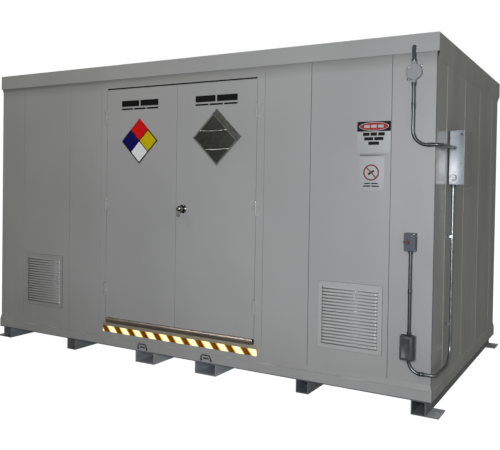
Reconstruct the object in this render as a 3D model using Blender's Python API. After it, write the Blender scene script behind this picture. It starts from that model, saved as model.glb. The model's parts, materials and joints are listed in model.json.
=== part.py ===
"""Prefabricated steel storage building on a spill containment sump.

Building coordinates: X runs along the front from its centre, Y from the front wall's
outer face to the rear, Z up from the ground. Every object hangs on one empty, which
moves that frame so that the whole object's box stands centred on the world origin.
"""
import math

import bmesh
import bpy
from mathutils import Matrix, Vector

# Driving dimensions, metres
WIDTH = 4.267
DEPTH = 2.438
FOOT = 0.1016  # height of the skids
BODY = 2.489  # from the top of the skids to the top of the roof
WALL = 0.0762
GAP = 0.0004  # between pieces that touch
HALF = WIDTH / 2
WALL_BASE = FOOT + 0.0766
WALL_TOP = FOOT + 2.4396

SKIRT_HEIGHT = 0.0762
SKIRT_PROUD = 0.010

FASCIA_HEIGHT = 0.127
FASCIA_PROUD = 0.016
FASCIA_CLEARANCE = 0.003
ROOF_DECK = 0.037
ROOF_CURB = 0.030
CURB_HEIGHT = 0.012

SEAM_PITCH = 0.6096
FIRST_SEAM = SEAM_PITCH / 2
SEAM_WIDTH = 0.004
SEAM_DEPTH = 0.004

# Floor
SUMP_PLATE = 0.005
FLOOR_CLEARANCE = 0.008  # between the floor and the walls
BEARER_WIDTH = 0.050
BEARER_TOP = FOOT + 0.150
DRAIN_NOTCH = (0.060, 0.030)
GRATING_THICKNESS = 0.032
GRATING_PANELS = 4
GRATING_CELLS = (8, 6)
GRATING_BAR = 0.010

# Skids, their centres from the middle of the building, and their widths
SKID = 0.1016
FORK_POCKET = 0.2032
SKID_WALL = 0.00635
SKIDS = (
    ("skid_left", -2.050, SKID),
    ("skid_inner_left", -1.180, SKID),
    ("fork_pocket_left", -0.313, FORK_POCKET),
    ("fork_pocket_right", 0.313, FORK_POCKET),
    ("skid_inner_right", 1.180, SKID),
    ("skid_right", 2.050, SKID),
)
PLATE_REACH = 0.055  # hold-down plate past the side wall
PLATE_LENGTH = 0.190
PLATE_THICKNESS = 0.010
ANCHOR_RADIUS = 0.012

# Doorway
SILL_TOP = FOOT + 0.205
LEAF_BOTTOM = FOOT + 0.2504
LEAF_TOP = LEAF_BOTTOM + 2.032
LEAF_WIDTH = 0.762
LEAF_GAP = 0.003
LEAF_FRONT = -0.001
LEAF_THICKNESS = 0.0445
LEAF_MIDDLE = LEAF_FRONT + LEAF_THICKNESS / 2
FRAME_FACE = 0.064
FRAME_PROUD = 0.002
FRAME_INNER = LEAF_WIDTH + 0.0035
FRAME_OUTER = FRAME_INNER + FRAME_FACE
STOP_WIDTH = 0.016
STOP_FRONT = 0.0465
THRESHOLD_NOSE = 0.021
THRESHOLD_PROUD = 0.014

# Hinges
HINGE_X = LEAF_WIDTH + 0.002
HINGE_Y = -0.009
BARREL_RADIUS = 0.0065
HINGE_LENGTH = 0.114
HINGE_PLATE = 0.030
HINGE_BORE = 0.0034
PIN_RADIUS = 0.003
HINGE_HEIGHTS = (LEAF_BOTTOM + 0.250, LEAF_BOTTOM + 1.016, LEAF_TOP - 0.250)
HINGE_NAMES = ("lower", "middle", "upper")

# Lockset, at the free edge of the right leaf
LOCK_X = LEAF_GAP / 2 + 0.070
LOCK_Z = FOOT + 1.245
ROSE_RADIUS = 0.037
ROSE_THICKNESS = 0.008
SHANK_RADIUS = 0.011
SPINDLE_RADIUS = 0.006
KNOB_RADIUS = 0.027
KNOB_REACH = 0.062
PLUG_RADIUS = 0.0065
PLUG_DEPTH = 0.020
LATCH_SIZE = (0.045, 0.014, 0.024)
BOLT_X = -0.020
BOLT_RADIUS = 0.006
BOLT_LENGTH = 0.150
BOLT_HOLE_DEPTH = 0.022

# Louvres
LOUVRE_X = HALF - 0.5905
LOUVRE_Z = FOOT + 0.514
LOUVRE_SIZE = 0.487
LOUVRE_HOLE = 0.420
LOUVRE_THICKNESS = 0.010
LOUVRE_BLADES = 18
LOUVRE_PITCH = 0.0235
LOUVRE_SLOT = (0.410, 0.007)

# Signs on the doors and the sill
SIGN_THICKNESS = 0.002
DIAMOND_HALF = 0.196
DIAMOND_X = -0.398
DIAMOND_Z = FOOT + 1.817
HOLDER_HALF = 0.228
HOLDER_X = 0.396
HOLDER_Z = FOOT + 1.830
HOLDER_THICKNESS = 0.006
TAPE_HALF = 0.790
TAPE_BAND = (FOOT + 0.121, FOOT + 0.173)

# Electrical pieces: X is measured back from the right corner, Y out from the front wall
PIPE = 0.012
PIPE_Y = -0.019
JUNCTION_X = HALF - 0.150
JUNCTION_Z = FOOT + 2.232
JUNCTION_RADIUS = 0.055
JUNCTION_DEPTH = 0.038
HUB_RADIUS = 0.018
HUB_REACH = 0.072
UPPER_RUN_Z = FOOT + 1.738
BREAKER_X = HALF + 0.008
BREAKER_DEPTH = 0.096
BREAKER_Y = 0.370
BREAKER_WIDTH = 0.280
BREAKER_BASE = FOOT + 1.476
BREAKER_HEIGHT = 0.386
BREAKER_RECESS = 0.012
COVER_THICKNESS = 0.008
ENTRY_X = HALF + 0.040
SIDE_PIPE_X = HALF + 0.033
SIDE_PIPE_Y = BREAKER_Y + 0.030
LOWER_RUN_Z = FOOT + 0.190
SWITCH_SIZE = (0.080, 0.050, 0.122)
SWITCH_Z = FOOT + 1.080
LEVER_REACH = 0.030
OUTLET_BOX = (0.074, 0.045, 0.150)
OUTLET_FLANGE = (0.100, 0.004, 0.166)
OUTLET_COVER = (0.088, 0.050, 0.162)
OUTLET_Z = FOOT + 0.368
OUTLET_WALL = 0.003
LIGHT_Y = DEPTH / 2
LIGHT_RADIUS = 0.085

# The outermost pieces set where the middle of the whole object's box lies.
RIGHT_REACH = BREAKER_X + BREAKER_DEPTH + GAP + COVER_THICKNESS
LEFT_REACH = HALF + PLATE_REACH
FRONT_REACH = OUTLET_BOX[1] + OUTLET_FLANGE[1] + 2 * GAP + OUTLET_COVER[1]
REAR_REACH = DEPTH + FASCIA_PROUD

MATERIALS = {
    "wall_paint": ((0.42, 0.43, 0.43), 0.38, 0.0),
    "skid_paint": ((0.10, 0.11, 0.12), 0.55, 0.0),
    "galvanised_steel": ((0.55, 0.57, 0.58), 0.40, 1.0),
    "dull_chrome": ((0.45, 0.44, 0.42), 0.18, 1.0),
    "aluminium": ((0.60, 0.58, 0.55), 0.30, 1.0),
    "dark_casting": ((0.09, 0.10, 0.12), 0.50, 0.0),
    "red_paint": ((0.45, 0.03, 0.03), 0.40, 0.0),
    "sign_vinyl": ((0.75, 0.72, 0.60), 0.30, 0.0),
    "black_polymer": ((0.06, 0.07, 0.08), 0.60, 0.0),
    "lamp_glass": ((0.85, 0.88, 0.88), 0.10, 0.0),
}


def clear_scene():
    for obj in list(bpy.data.objects):
        bpy.data.objects.remove(obj, do_unlink=True)


def material(name):
    """The named Principled material, made on first use."""
    found = bpy.data.materials.get(name)
    if found:
        return found
    color, roughness, metallic = MATERIALS[name]
    made = bpy.data.materials.new(name)
    made.use_nodes = True
    shader = made.node_tree.nodes["Principled BSDF"]
    shader.inputs["Base Color"].default_value = (*color, 1.0)
    shader.inputs["Roughness"].default_value = roughness
    shader.inputs["Metallic"].default_value = metallic
    return made


def place(name, shape, finish, pivot=(0.0, 0.0, 0.0), smooth=False):
    """A named object from a bmesh in building coordinates, with its origin at the pivot."""
    bmesh.ops.translate(shape, verts=shape.verts, vec=-Vector(pivot))
    bmesh.ops.recalc_face_normals(shape, faces=shape.faces)
    mesh = bpy.data.meshes.new(name)
    shape.to_mesh(mesh)
    shape.free()
    if smooth:
        mesh.shade_smooth()
        mesh.set_sharp_from_angle(angle=math.radians(35))
    mesh.materials.append(material(finish))
    obj = bpy.data.objects.new(name, mesh)
    obj.location = pivot
    obj.parent = bpy.data.objects["building_origin"]
    bpy.context.collection.objects.link(obj)
    return obj


def cutter(name, shape):
    """A hidden helper for a Boolean."""
    obj = place(name, shape, "wall_paint")
    obj.hide_render = True
    obj.display_type = "WIRE"
    return obj


def combine(obj, operation, *helpers):
    for helper in helpers:
        modifier = obj.modifiers.new(helper.name, "BOOLEAN")
        modifier.operation = operation
        modifier.solver = "EXACT"
        modifier.object = helper


def add_box(shape, low, high):
    """A cuboid between two corners."""
    centre = (Vector(low) + Vector(high)) / 2
    size = Vector(high) - Vector(low)
    matrix = Matrix.Translation(centre) @ Matrix.Diagonal((*size, 1.0))
    return bmesh.ops.create_cube(shape, size=1.0, matrix=matrix)["verts"]


def box_between(low, high):
    shape = bmesh.new()
    add_box(shape, low, high)
    return shape


def box_about(centre, size):
    half = Vector(size) / 2
    return box_between(Vector(centre) - half, Vector(centre) + half)


def add_prism(shape, outline, axis, start, end):
    """A closed outline pushed along an axis. The outline's pairs are the other two coordinates."""
    others = [i for i in range(3) if i != axis]
    ring = []
    for pair in outline:
        point = [0.0, 0.0, 0.0]
        point[others[0]] = pair[0]
        point[others[1]] = pair[1]
        point[axis] = start
        ring.append(shape.verts.new(point))
    face = shape.faces.new(ring)
    pushed = bmesh.ops.extrude_face_region(shape, geom=[face])["geom"]
    shift = Vector((0.0, 0.0, 0.0))
    shift[axis] = end - start
    verts = [item for item in pushed if isinstance(item, bmesh.types.BMVert)]
    bmesh.ops.translate(shape, verts=verts, vec=shift)


def prism(outline, axis, start, end):
    shape = bmesh.new()
    add_prism(shape, outline, axis, start, end)
    return shape


AXIS_TURN = {
    "X": Matrix.Rotation(math.radians(90), 4, "Y"),
    "Y": Matrix.Rotation(math.radians(90), 4, "X"),
    "Z": Matrix.Identity(4),
}


def add_cylinder(shape, centre, radius, length, axis, segments=24):
    bmesh.ops.create_cone(
        shape,
        cap_ends=True,
        segments=segments,
        radius1=radius,
        radius2=radius,
        depth=length,
        matrix=Matrix.Translation(centre) @ AXIS_TURN[axis],
    )


def cylinder(centre, radius, length, axis, segments=24):
    shape = bmesh.new()
    add_cylinder(shape, centre, radius, length, axis, segments)
    return shape


def turned(profile, centre, direction, segments=28):
    """A solid of revolution: pairs of radius and distance along the direction from the centre."""
    shape = bmesh.new()
    line = [shape.verts.new((radius, 0.0, along)) for radius, along in profile]
    edges = [shape.edges.new(pair) for pair in zip(line, line[1:])]
    bmesh.ops.spin(
        shape,
        geom=line + edges,
        cent=(0.0, 0.0, 0.0),
        axis=(0.0, 0.0, 1.0),
        angle=math.radians(360),
        steps=segments,
        use_merge=True,
    )
    bmesh.ops.remove_doubles(shape, verts=shape.verts, dist=1e-6)
    turn = Vector((0.0, 0.0, 1.0)).rotation_difference(Vector(direction))
    matrix = Matrix.Translation(centre) @ turn.to_matrix().to_4x4()
    bmesh.ops.transform(shape, matrix=matrix, verts=shape.verts)
    return shape


def bent_route(corners, radii, steps=6):
    """Points along straight runs joined by round bends, one radius for each inner corner."""
    points = [Vector(corners[0])]
    for i, radius in enumerate(radii):
        before = Vector(corners[i])
        corner = Vector(corners[i + 1])
        after = Vector(corners[i + 2])
        back = (before - corner).normalized()
        ahead = (after - corner).normalized()
        half = back.angle(ahead) / 2
        centre = corner + (back + ahead).normalized() * (radius / math.sin(half))
        first = corner + back * (radius / math.tan(half)) - centre
        last = corner + ahead * (radius / math.tan(half)) - centre
        for step in range(steps + 1):
            turn = step / steps
            points.append(centre + first.normalized().slerp(last.normalized(), turn) * radius)
    points.append(Vector(corners[-1]))
    return points


def with_collars(points, collars):
    """The route with radius factors: each collar is (start, length, factor) along its length."""
    lengths = [0.0]
    for a, b in zip(points, points[1:]):
        lengths.append(lengths[-1] + (b - a).length)
    shoulder = 0.0008

    def at(distance):
        for i in range(len(points) - 1):
            if distance <= lengths[i + 1]:
                share = (distance - lengths[i]) / (lengths[i + 1] - lengths[i])
                return points[i].lerp(points[i + 1], share)
        return points[-1]

    stations = [(length, 1.0) for length in lengths]
    for start, length, factor in collars:
        start = start if start >= 0 else lengths[-1] + start
        end = min(start + length, lengths[-1])
        stations = [
            (s, factor if start <= s <= end else f) for s, f in stations
        ]
        if start > 0:
            stations.append((start - shoulder, 1.0))
            stations.append((start, factor))
        if end < lengths[-1]:
            stations.append((end, factor))
            stations.append((end + shoulder, 1.0))
    stations = sorted(set(stations))
    return [(at(distance), factor) for distance, factor in stations]


def pipe(name, corners, radii, finish, collars=(), radius=PIPE, resolution=3):
    """A bent pipe with couplings, as a curve with filled caps."""
    curve = bpy.data.curves.new(name, "CURVE")
    curve.dimensions = "3D"
    curve.bevel_depth = radius
    curve.bevel_resolution = resolution
    curve.use_fill_caps = True
    route = with_collars(bent_route(corners, radii), collars)
    spline = curve.splines.new("POLY")
    spline.points.add(len(route) - 1)
    for point, (place_at, factor) in zip(spline.points, route):
        point.co = (*place_at, 1.0)
        point.radius = factor
    spline.use_smooth = True
    curve.materials.append(material(finish))
    obj = bpy.data.objects.new(name, curve)
    obj.parent = bpy.data.objects["building_origin"]
    bpy.context.collection.objects.link(obj)
    return obj


def seam_places(low, high, first):
    """Seams at the panel pitch that fall well inside a stretch of wall."""
    places = []
    at = first
    while at < high - SEAM_WIDTH * 3:
        if at > low + SEAM_WIDTH * 3:
            places.append(at)
        at += SEAM_PITCH
    return places


def wall_outline(start, end, seams, mitre_start, mitre_end):
    """A wall in plan, (along, inward): grooves on the outer face, corners cut at 45 degrees."""
    outline = [(start, 0.0)]
    for seam in seams:
        outline.append((seam - SEAM_WIDTH / 2, 0.0))
        outline.append((seam - SEAM_WIDTH / 2, SEAM_DEPTH))
        outline.append((seam + SEAM_WIDTH / 2, SEAM_DEPTH))
        outline.append((seam + SEAM_WIDTH / 2, 0.0))
    outline.append((end, 0.0))
    outline.append((end - WALL if mitre_end else end, WALL))
    outline.append((start + WALL if mitre_start else start, WALL))
    return outline


def build_base():
    ring = bmesh.new()
    add_box(
        ring,
        (-HALF - SKIRT_PROUD, -SKIRT_PROUD, FOOT),
        (HALF + SKIRT_PROUD, DEPTH + SKIRT_PROUD, FOOT + SKIRT_HEIGHT),
    )
    frame = place("base_frame", ring, "wall_paint")
    hole = box_between(
        (-HALF + WALL, WALL, FOOT - 0.1),
        (HALF - WALL, DEPTH - WALL, FOOT + SKIRT_HEIGHT + 0.1),
    )
    combine(frame, "DIFFERENCE", cutter("base_hole", hole))

    inset = WALL + GAP
    plate = box_between(
        (-HALF + inset, inset, FOOT), (HALF - inset, DEPTH - inset, FOOT + SUMP_PLATE)
    )
    place("sump_plate", plate, "wall_paint")


def build_floor():
    inset = WALL + FLOOR_CLEARANCE
    reach = HALF - inset
    width, height = DRAIN_NOTCH
    bottom = FOOT + SUMP_PLATE + GAP
    outline = [(-reach, bottom)]
    for share in (-0.75, -0.25, 0.25, 0.75):
        middle = share * reach
        outline.append((middle - width / 2, bottom))
        outline.append((middle - width / 2, bottom + height))
        outline.append((middle + width / 2, bottom + height))
        outline.append((middle + width / 2, bottom))
    outline += [(reach, bottom), (reach, BEARER_TOP), (-reach, BEARER_TOP)]
    starts = {
        "front": inset,
        "middle": (DEPTH - BEARER_WIDTH) / 2,
        "rear": DEPTH - inset - BEARER_WIDTH,
    }
    for where, start in starts.items():
        bearer = prism(outline, 1, start, start + BEARER_WIDTH)
        place(f"grating_bearer_{where}", bearer, "galvanised_steel")

    pitch = 2 * reach / GRATING_PANELS
    low_z = BEARER_TOP + GAP
    low_y = inset + 0.002
    high_y = DEPTH - inset - 0.002
    columns, rows = GRATING_CELLS
    for panel in range(GRATING_PANELS):
        low_x = -reach + pitch * panel + 0.002
        high_x = low_x + pitch - 0.004
        grating = place(
            f"floor_grating_{panel + 1}",
            box_between((low_x, low_y, low_z), (high_x, high_y, low_z + GRATING_THICKNESS)),
            "galvanised_steel",
        )
        cells = bmesh.new()
        cell_x = (high_x - low_x - GRATING_BAR) / columns
        cell_y = (high_y - low_y - GRATING_BAR) / rows
        for column in range(columns):
            for row in range(rows):
                corner_x = low_x + GRATING_BAR + cell_x * column
                corner_y = low_y + GRATING_BAR + cell_y * row
                add_box(
                    cells,
                    (corner_x, corner_y, low_z - 0.01),
                    (
                        corner_x + cell_x - GRATING_BAR,
                        corner_y + cell_y - GRATING_BAR,
                        low_z + GRATING_THICKNESS + 0.01,
                    ),
                )
        combine(grating, "DIFFERENCE", cutter(f"grating_cells_{panel + 1}", cells))


def build_skids():
    top = FOOT - GAP
    for name, middle, width in SKIDS:
        low = middle - width / 2
        high = middle + width / 2
        skid = place(name, box_between((low, 0.0, 0.0), (high, DEPTH, top)), "skid_paint")
        if abs(middle) > HALF - SKID:
            side = math.copysign(1, middle)
            plates = bmesh.new()
            inner = middle + side * (width / 2 - SKID_WALL / 2)
            outer = side * (HALF + PLATE_REACH)
            for start in (0.0, DEPTH - PLATE_LENGTH):
                add_box(
                    plates,
                    (min(inner, outer), start, 0.0),
                    (max(inner, outer), start + PLATE_LENGTH, PLATE_THICKNESS),
                )
            combine(skid, "UNION", cutter(f"{name}_plates", plates))
            holes = bmesh.new()
            bolt_x = side * (HALF + PLATE_REACH - 0.035)
            for start in (0.0, DEPTH - PLATE_LENGTH):
                centre = (bolt_x, start + PLATE_LENGTH / 2, PLATE_THICKNESS / 2)
                add_cylinder(holes, centre, ANCHOR_RADIUS, 0.05, "Z")
            combine(skid, "DIFFERENCE", cutter(f"{name}_anchor_holes", holes))
        bore = box_between(
            (low + SKID_WALL, -0.1, SKID_WALL),
            (high - SKID_WALL, DEPTH + 0.1, top - SKID_WALL),
        )
        combine(skid, "DIFFERENCE", cutter(f"{name}_bore", bore))


def build_walls():
    front_seams = [HALF - FIRST_SEAM - SEAM_PITCH * i for i in range(2)]
    edge = FRAME_OUTER + GAP
    for side, name in ((-1, "front_wall_left"), (1, "front_wall_right")):
        seams = sorted(side * seam for seam in front_seams)
        if side < 0:
            outline = wall_outline(-HALF + GAP, -edge, seams, True, False)
        else:
            outline = wall_outline(edge, HALF - GAP, seams, False, True)
        wall = place(name, prism(outline, 2, WALL_BASE, WALL_TOP), "wall_paint")
        hole = box_about(
            (side * LOUVRE_X, WALL / 2, LOUVRE_Z), (LOUVRE_HOLE, WALL * 3, LOUVRE_HOLE)
        )
        combine(wall, "DIFFERENCE", cutter(f"{name}_vent", hole))
    place(
        "front_wall_sill",
        box_between((-FRAME_OUTER, 0.0, WALL_BASE), (FRAME_OUTER, WALL, SILL_TOP)),
        "wall_paint",
    )

    rear_seams = seam_places(-HALF, HALF, -HALF + FIRST_SEAM)
    plan = wall_outline(-HALF + GAP, HALF - GAP, rear_seams, True, True)
    plan = [(along, DEPTH - inward) for along, inward in plan]
    place("rear_wall", prism(plan, 2, WALL_BASE, WALL_TOP), "wall_paint")

    side_seams = seam_places(0.0, DEPTH, FIRST_SEAM)
    plan = wall_outline(GAP, DEPTH - GAP, side_seams, True, True)
    left = [(-HALF + inward, along) for along, inward in plan]
    right = [(HALF - inward, along) for along, inward in plan]
    place("left_wall", prism(left, 2, WALL_BASE, WALL_TOP), "wall_paint")
    place("right_wall", prism(right, 2, WALL_BASE, WALL_TOP), "wall_paint")


def build_roof():
    top = FOOT + BODY
    cap = place(
        "roof_cap",
        box_between(
            (-HALF - FASCIA_PROUD, -FASCIA_PROUD, top - FASCIA_HEIGHT),
            (HALF + FASCIA_PROUD, DEPTH + FASCIA_PROUD, top),
        ),
        "wall_paint",
    )
    reach = HALF + FASCIA_CLEARANCE
    below = box_between(
        (-reach, -FASCIA_CLEARANCE, top - FASCIA_HEIGHT - 0.1),
        (reach, DEPTH + FASCIA_CLEARANCE, top - CURB_HEIGHT - ROOF_DECK),
    )
    inset = ROOF_CURB - FASCIA_PROUD
    above = box_between(
        (-HALF + inset, inset, top - CURB_HEIGHT),
        (HALF - inset, DEPTH - inset, top + 0.1),
    )
    combine(cap, "DIFFERENCE", cutter("roof_underside", below), cutter("roof_top", above))


def hinge_outline(side):
    """A knuckle and its weld plate in plan. Side is +1 where the plate runs to +X."""
    front = 0.0045
    back = 0.0100
    start = 0.0005
    first = math.acos(start / BARREL_RADIUS)
    last = math.asin(front / BARREL_RADIUS) + math.radians(360)
    steps = 14
    pairs = [(HINGE_PLATE, front), (HINGE_PLATE, back), (start, back)]
    for step in range(steps + 1):
        angle = first + (last - first) * step / steps
        pairs.append((BARREL_RADIUS * math.cos(angle), BARREL_RADIUS * math.sin(angle)))
    return [(side * across, along) for across, along in pairs]


def hinge_knuckles(hand, on_leaf):
    """All knuckles of one leaf's hinges: the middle third on the leaf, the others on the frame."""
    shape = bmesh.new()
    axis_x = hand * HINGE_X
    side = -hand if on_leaf else hand
    outline = [(axis_x + across, HINGE_Y + along) for across, along in hinge_outline(side)]
    third = HINGE_LENGTH / 3
    play = 0.0003
    for middle in HINGE_HEIGHTS:
        if on_leaf:
            spans = [(middle - third / 2 + play, middle + third / 2 - play)]
        else:
            spans = [
                (middle - HINGE_LENGTH / 2, middle - third / 2 - play),
                (middle + third / 2 + play, middle + HINGE_LENGTH / 2),
            ]
        for low, high in spans:
            add_prism(shape, outline, 2, low, high)
    return shape


def hinge_bores(hand):
    shape = bmesh.new()
    for middle in HINGE_HEIGHTS:
        centre = (hand * HINGE_X, HINGE_Y, middle)
        add_cylinder(shape, centre, HINGE_BORE, HINGE_LENGTH + 0.02, "Z", 16)
    return shape


def build_door_frame(bores):
    outer_top = WALL_TOP
    stop = FRAME_INNER - STOP_WIDTH
    opening_top = LEAF_TOP + 0.003
    stop_top = opening_top - STOP_WIDTH
    outline = [
        (-FRAME_OUTER, SILL_TOP + GAP),
        (-FRAME_OUTER, outer_top),
        (FRAME_OUTER, outer_top),
        (FRAME_OUTER, SILL_TOP + GAP),
        (stop, SILL_TOP + GAP),
        (stop, stop_top),
        (-stop, stop_top),
        (-stop, SILL_TOP + GAP),
    ]
    frame = place("door_frame", prism(outline, 1, -FRAME_PROUD, WALL), "wall_paint")
    rabbet = box_between(
        (-FRAME_INNER, -0.1, SILL_TOP - 0.1), (FRAME_INNER, STOP_FRONT, opening_top)
    )
    bolt_hole = cylinder(
        (BOLT_X, LEAF_MIDDLE, opening_top + BOLT_HOLE_DEPTH / 2 - 0.002),
        BOLT_RADIUS + 0.002,
        BOLT_HOLE_DEPTH + 0.004,
        "Z",
        16,
    )
    knuckles = [
        cutter("frame_knuckles_left", hinge_knuckles(-1, False)),
        cutter("frame_knuckles_right", hinge_knuckles(1, False)),
    ]
    combine(frame, "DIFFERENCE", cutter("frame_rabbet", rabbet))
    combine(frame, "UNION", *knuckles)
    combine(frame, "DIFFERENCE", *bores, cutter("head_bolt_hole", bolt_hole))


def build_threshold():
    """A sill extrusion with a rounded nose that stands proud of the wall."""
    reach = FRAME_INNER - STOP_WIDTH - GAP
    low = SILL_TOP + GAP
    high = LEAF_BOTTOM - 0.003
    radius = THRESHOLD_NOSE
    steps = 8
    outline = [(WALL, low), (WALL, high)]
    nose_y = -THRESHOLD_PROUD + radius
    for step in range(steps + 1):
        angle = math.radians(90 + 90 * step / steps)
        outline.append((nose_y + radius * math.cos(angle), high - radius + radius * math.sin(angle)))
    outline.append((-THRESHOLD_PROUD, low))
    sill = place("threshold", prism(outline, 0, -reach, reach), "aluminium", smooth=True)
    hole = cylinder(
        (BOLT_X, LEAF_MIDDLE, high - BOLT_HOLE_DEPTH / 2 + 0.002),
        BOLT_RADIUS + 0.002,
        BOLT_HOLE_DEPTH + 0.004,
        "Z",
        16,
    )
    combine(sill, "DIFFERENCE", cutter("sill_bolt_hole", hole))


def build_leaf(name, hand, bores):
    """One door leaf, with its origin on its hinge line."""
    inner = LEAF_GAP / 2
    low_x = min(hand * inner, hand * LEAF_WIDTH)
    high_x = max(hand * inner, hand * LEAF_WIDTH)
    leaf = place(
        name,
        box_between(
            (low_x, LEAF_FRONT, LEAF_BOTTOM),
            (high_x, LEAF_FRONT + LEAF_THICKNESS, LEAF_TOP),
        ),
        "wall_paint",
        pivot=(hand * HINGE_X, HINGE_Y, LEAF_BOTTOM),
    )
    combine(leaf, "UNION", cutter(f"{name}_knuckles", hinge_knuckles(hand, True)))
    combine(leaf, "DIFFERENCE", *bores)
    return leaf


def build_doors():
    bores = {}
    for hand, side in ((-1, "left"), (1, "right")):
        bores[hand] = cutter(f"hinge_bores_{side}", hinge_bores(hand))
    build_door_frame(list(bores.values()))
    build_threshold()
    left = build_leaf("door_leaf_left", -1, [bores[-1]])
    right = build_leaf("door_leaf_right", 1, [bores[1]])

    play = 0.0006
    channels = bmesh.new()
    length = BOLT_LENGTH + 0.020
    for end, way in ((LEAF_TOP, -1), (LEAF_BOTTOM, 1)):
        centre = (BOLT_X, LEAF_MIDDLE, end + way * (length / 2 - 0.005))
        add_cylinder(channels, centre, BOLT_RADIUS + play, length + 0.010, "Z", 16)
    pocket = box_about(
        (-LEAF_GAP / 2 - 0.005, LEAF_MIDDLE, LOCK_Z),
        (0.020, LATCH_SIZE[1] + 0.004, LATCH_SIZE[2] + 0.004),
    )
    combine(left, "DIFFERENCE", cutter("bolt_channels", channels), cutter("strike_pocket", pocket))

    bore = cylinder(
        (LOCK_X, LEAF_MIDDLE, LOCK_Z), SHANK_RADIUS + 0.0015, LEAF_THICKNESS * 2, "Y"
    )
    channel_end = LOCK_X - SHANK_RADIUS - 0.0030
    channel = box_between(
        (-0.02, LEAF_MIDDLE - LATCH_SIZE[1] / 2 - play, LOCK_Z - LATCH_SIZE[2] / 2 - play),
        (channel_end, LEAF_MIDDLE + LATCH_SIZE[1] / 2 + play, LOCK_Z + LATCH_SIZE[2] / 2 + play),
    )
    combine(right, "DIFFERENCE", cutter("knob_bore", bore), cutter("latch_channel", channel))


def build_hinge_pins():
    head = 0.0035
    low = -HINGE_LENGTH / 2 - 0.003
    high = HINGE_LENGTH / 2 + GAP
    profile = [
        (0.0, low),
        (PIN_RADIUS * 0.6, low),
        (PIN_RADIUS, low + 0.002),
        (PIN_RADIUS, high),
        (BARREL_RADIUS - 0.001, high),
        (BARREL_RADIUS - 0.001, high + head * 0.6),
        (BARREL_RADIUS - 0.003, high + head),
        (0.0, high + head),
    ]
    for hand, side in ((-1, "left"), (1, "right")):
        for middle, where in zip(HINGE_HEIGHTS, HINGE_NAMES):
            centre = (hand * HINGE_X, HINGE_Y, middle)
            pin = turned(profile, centre, (0.0, 0.0, 1.0), 16)
            place(f"hinge_pin_{side}_{where}", pin, "dull_chrome", centre, smooth=True)


def knob_profile(start, reach):
    """From the end of the spindle inside the leaf out to the face of the knob."""
    return [
        (0.0, 0.0),
        (SPINDLE_RADIUS, 0.0),
        (SPINDLE_RADIUS, start - 0.002),
        (SHANK_RADIUS, start),
        (SHANK_RADIUS, start + 0.026),
        (SHANK_RADIUS + 0.003, start + 0.030),
        (KNOB_RADIUS - 0.006, start + 0.034),
        (KNOB_RADIUS - 0.001, start + 0.040),
        (KNOB_RADIUS, start + 0.047),
        (KNOB_RADIUS - 0.002, start + 0.054),
        (KNOB_RADIUS - 0.008, reach),
        (0.0, reach),
    ]


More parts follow.
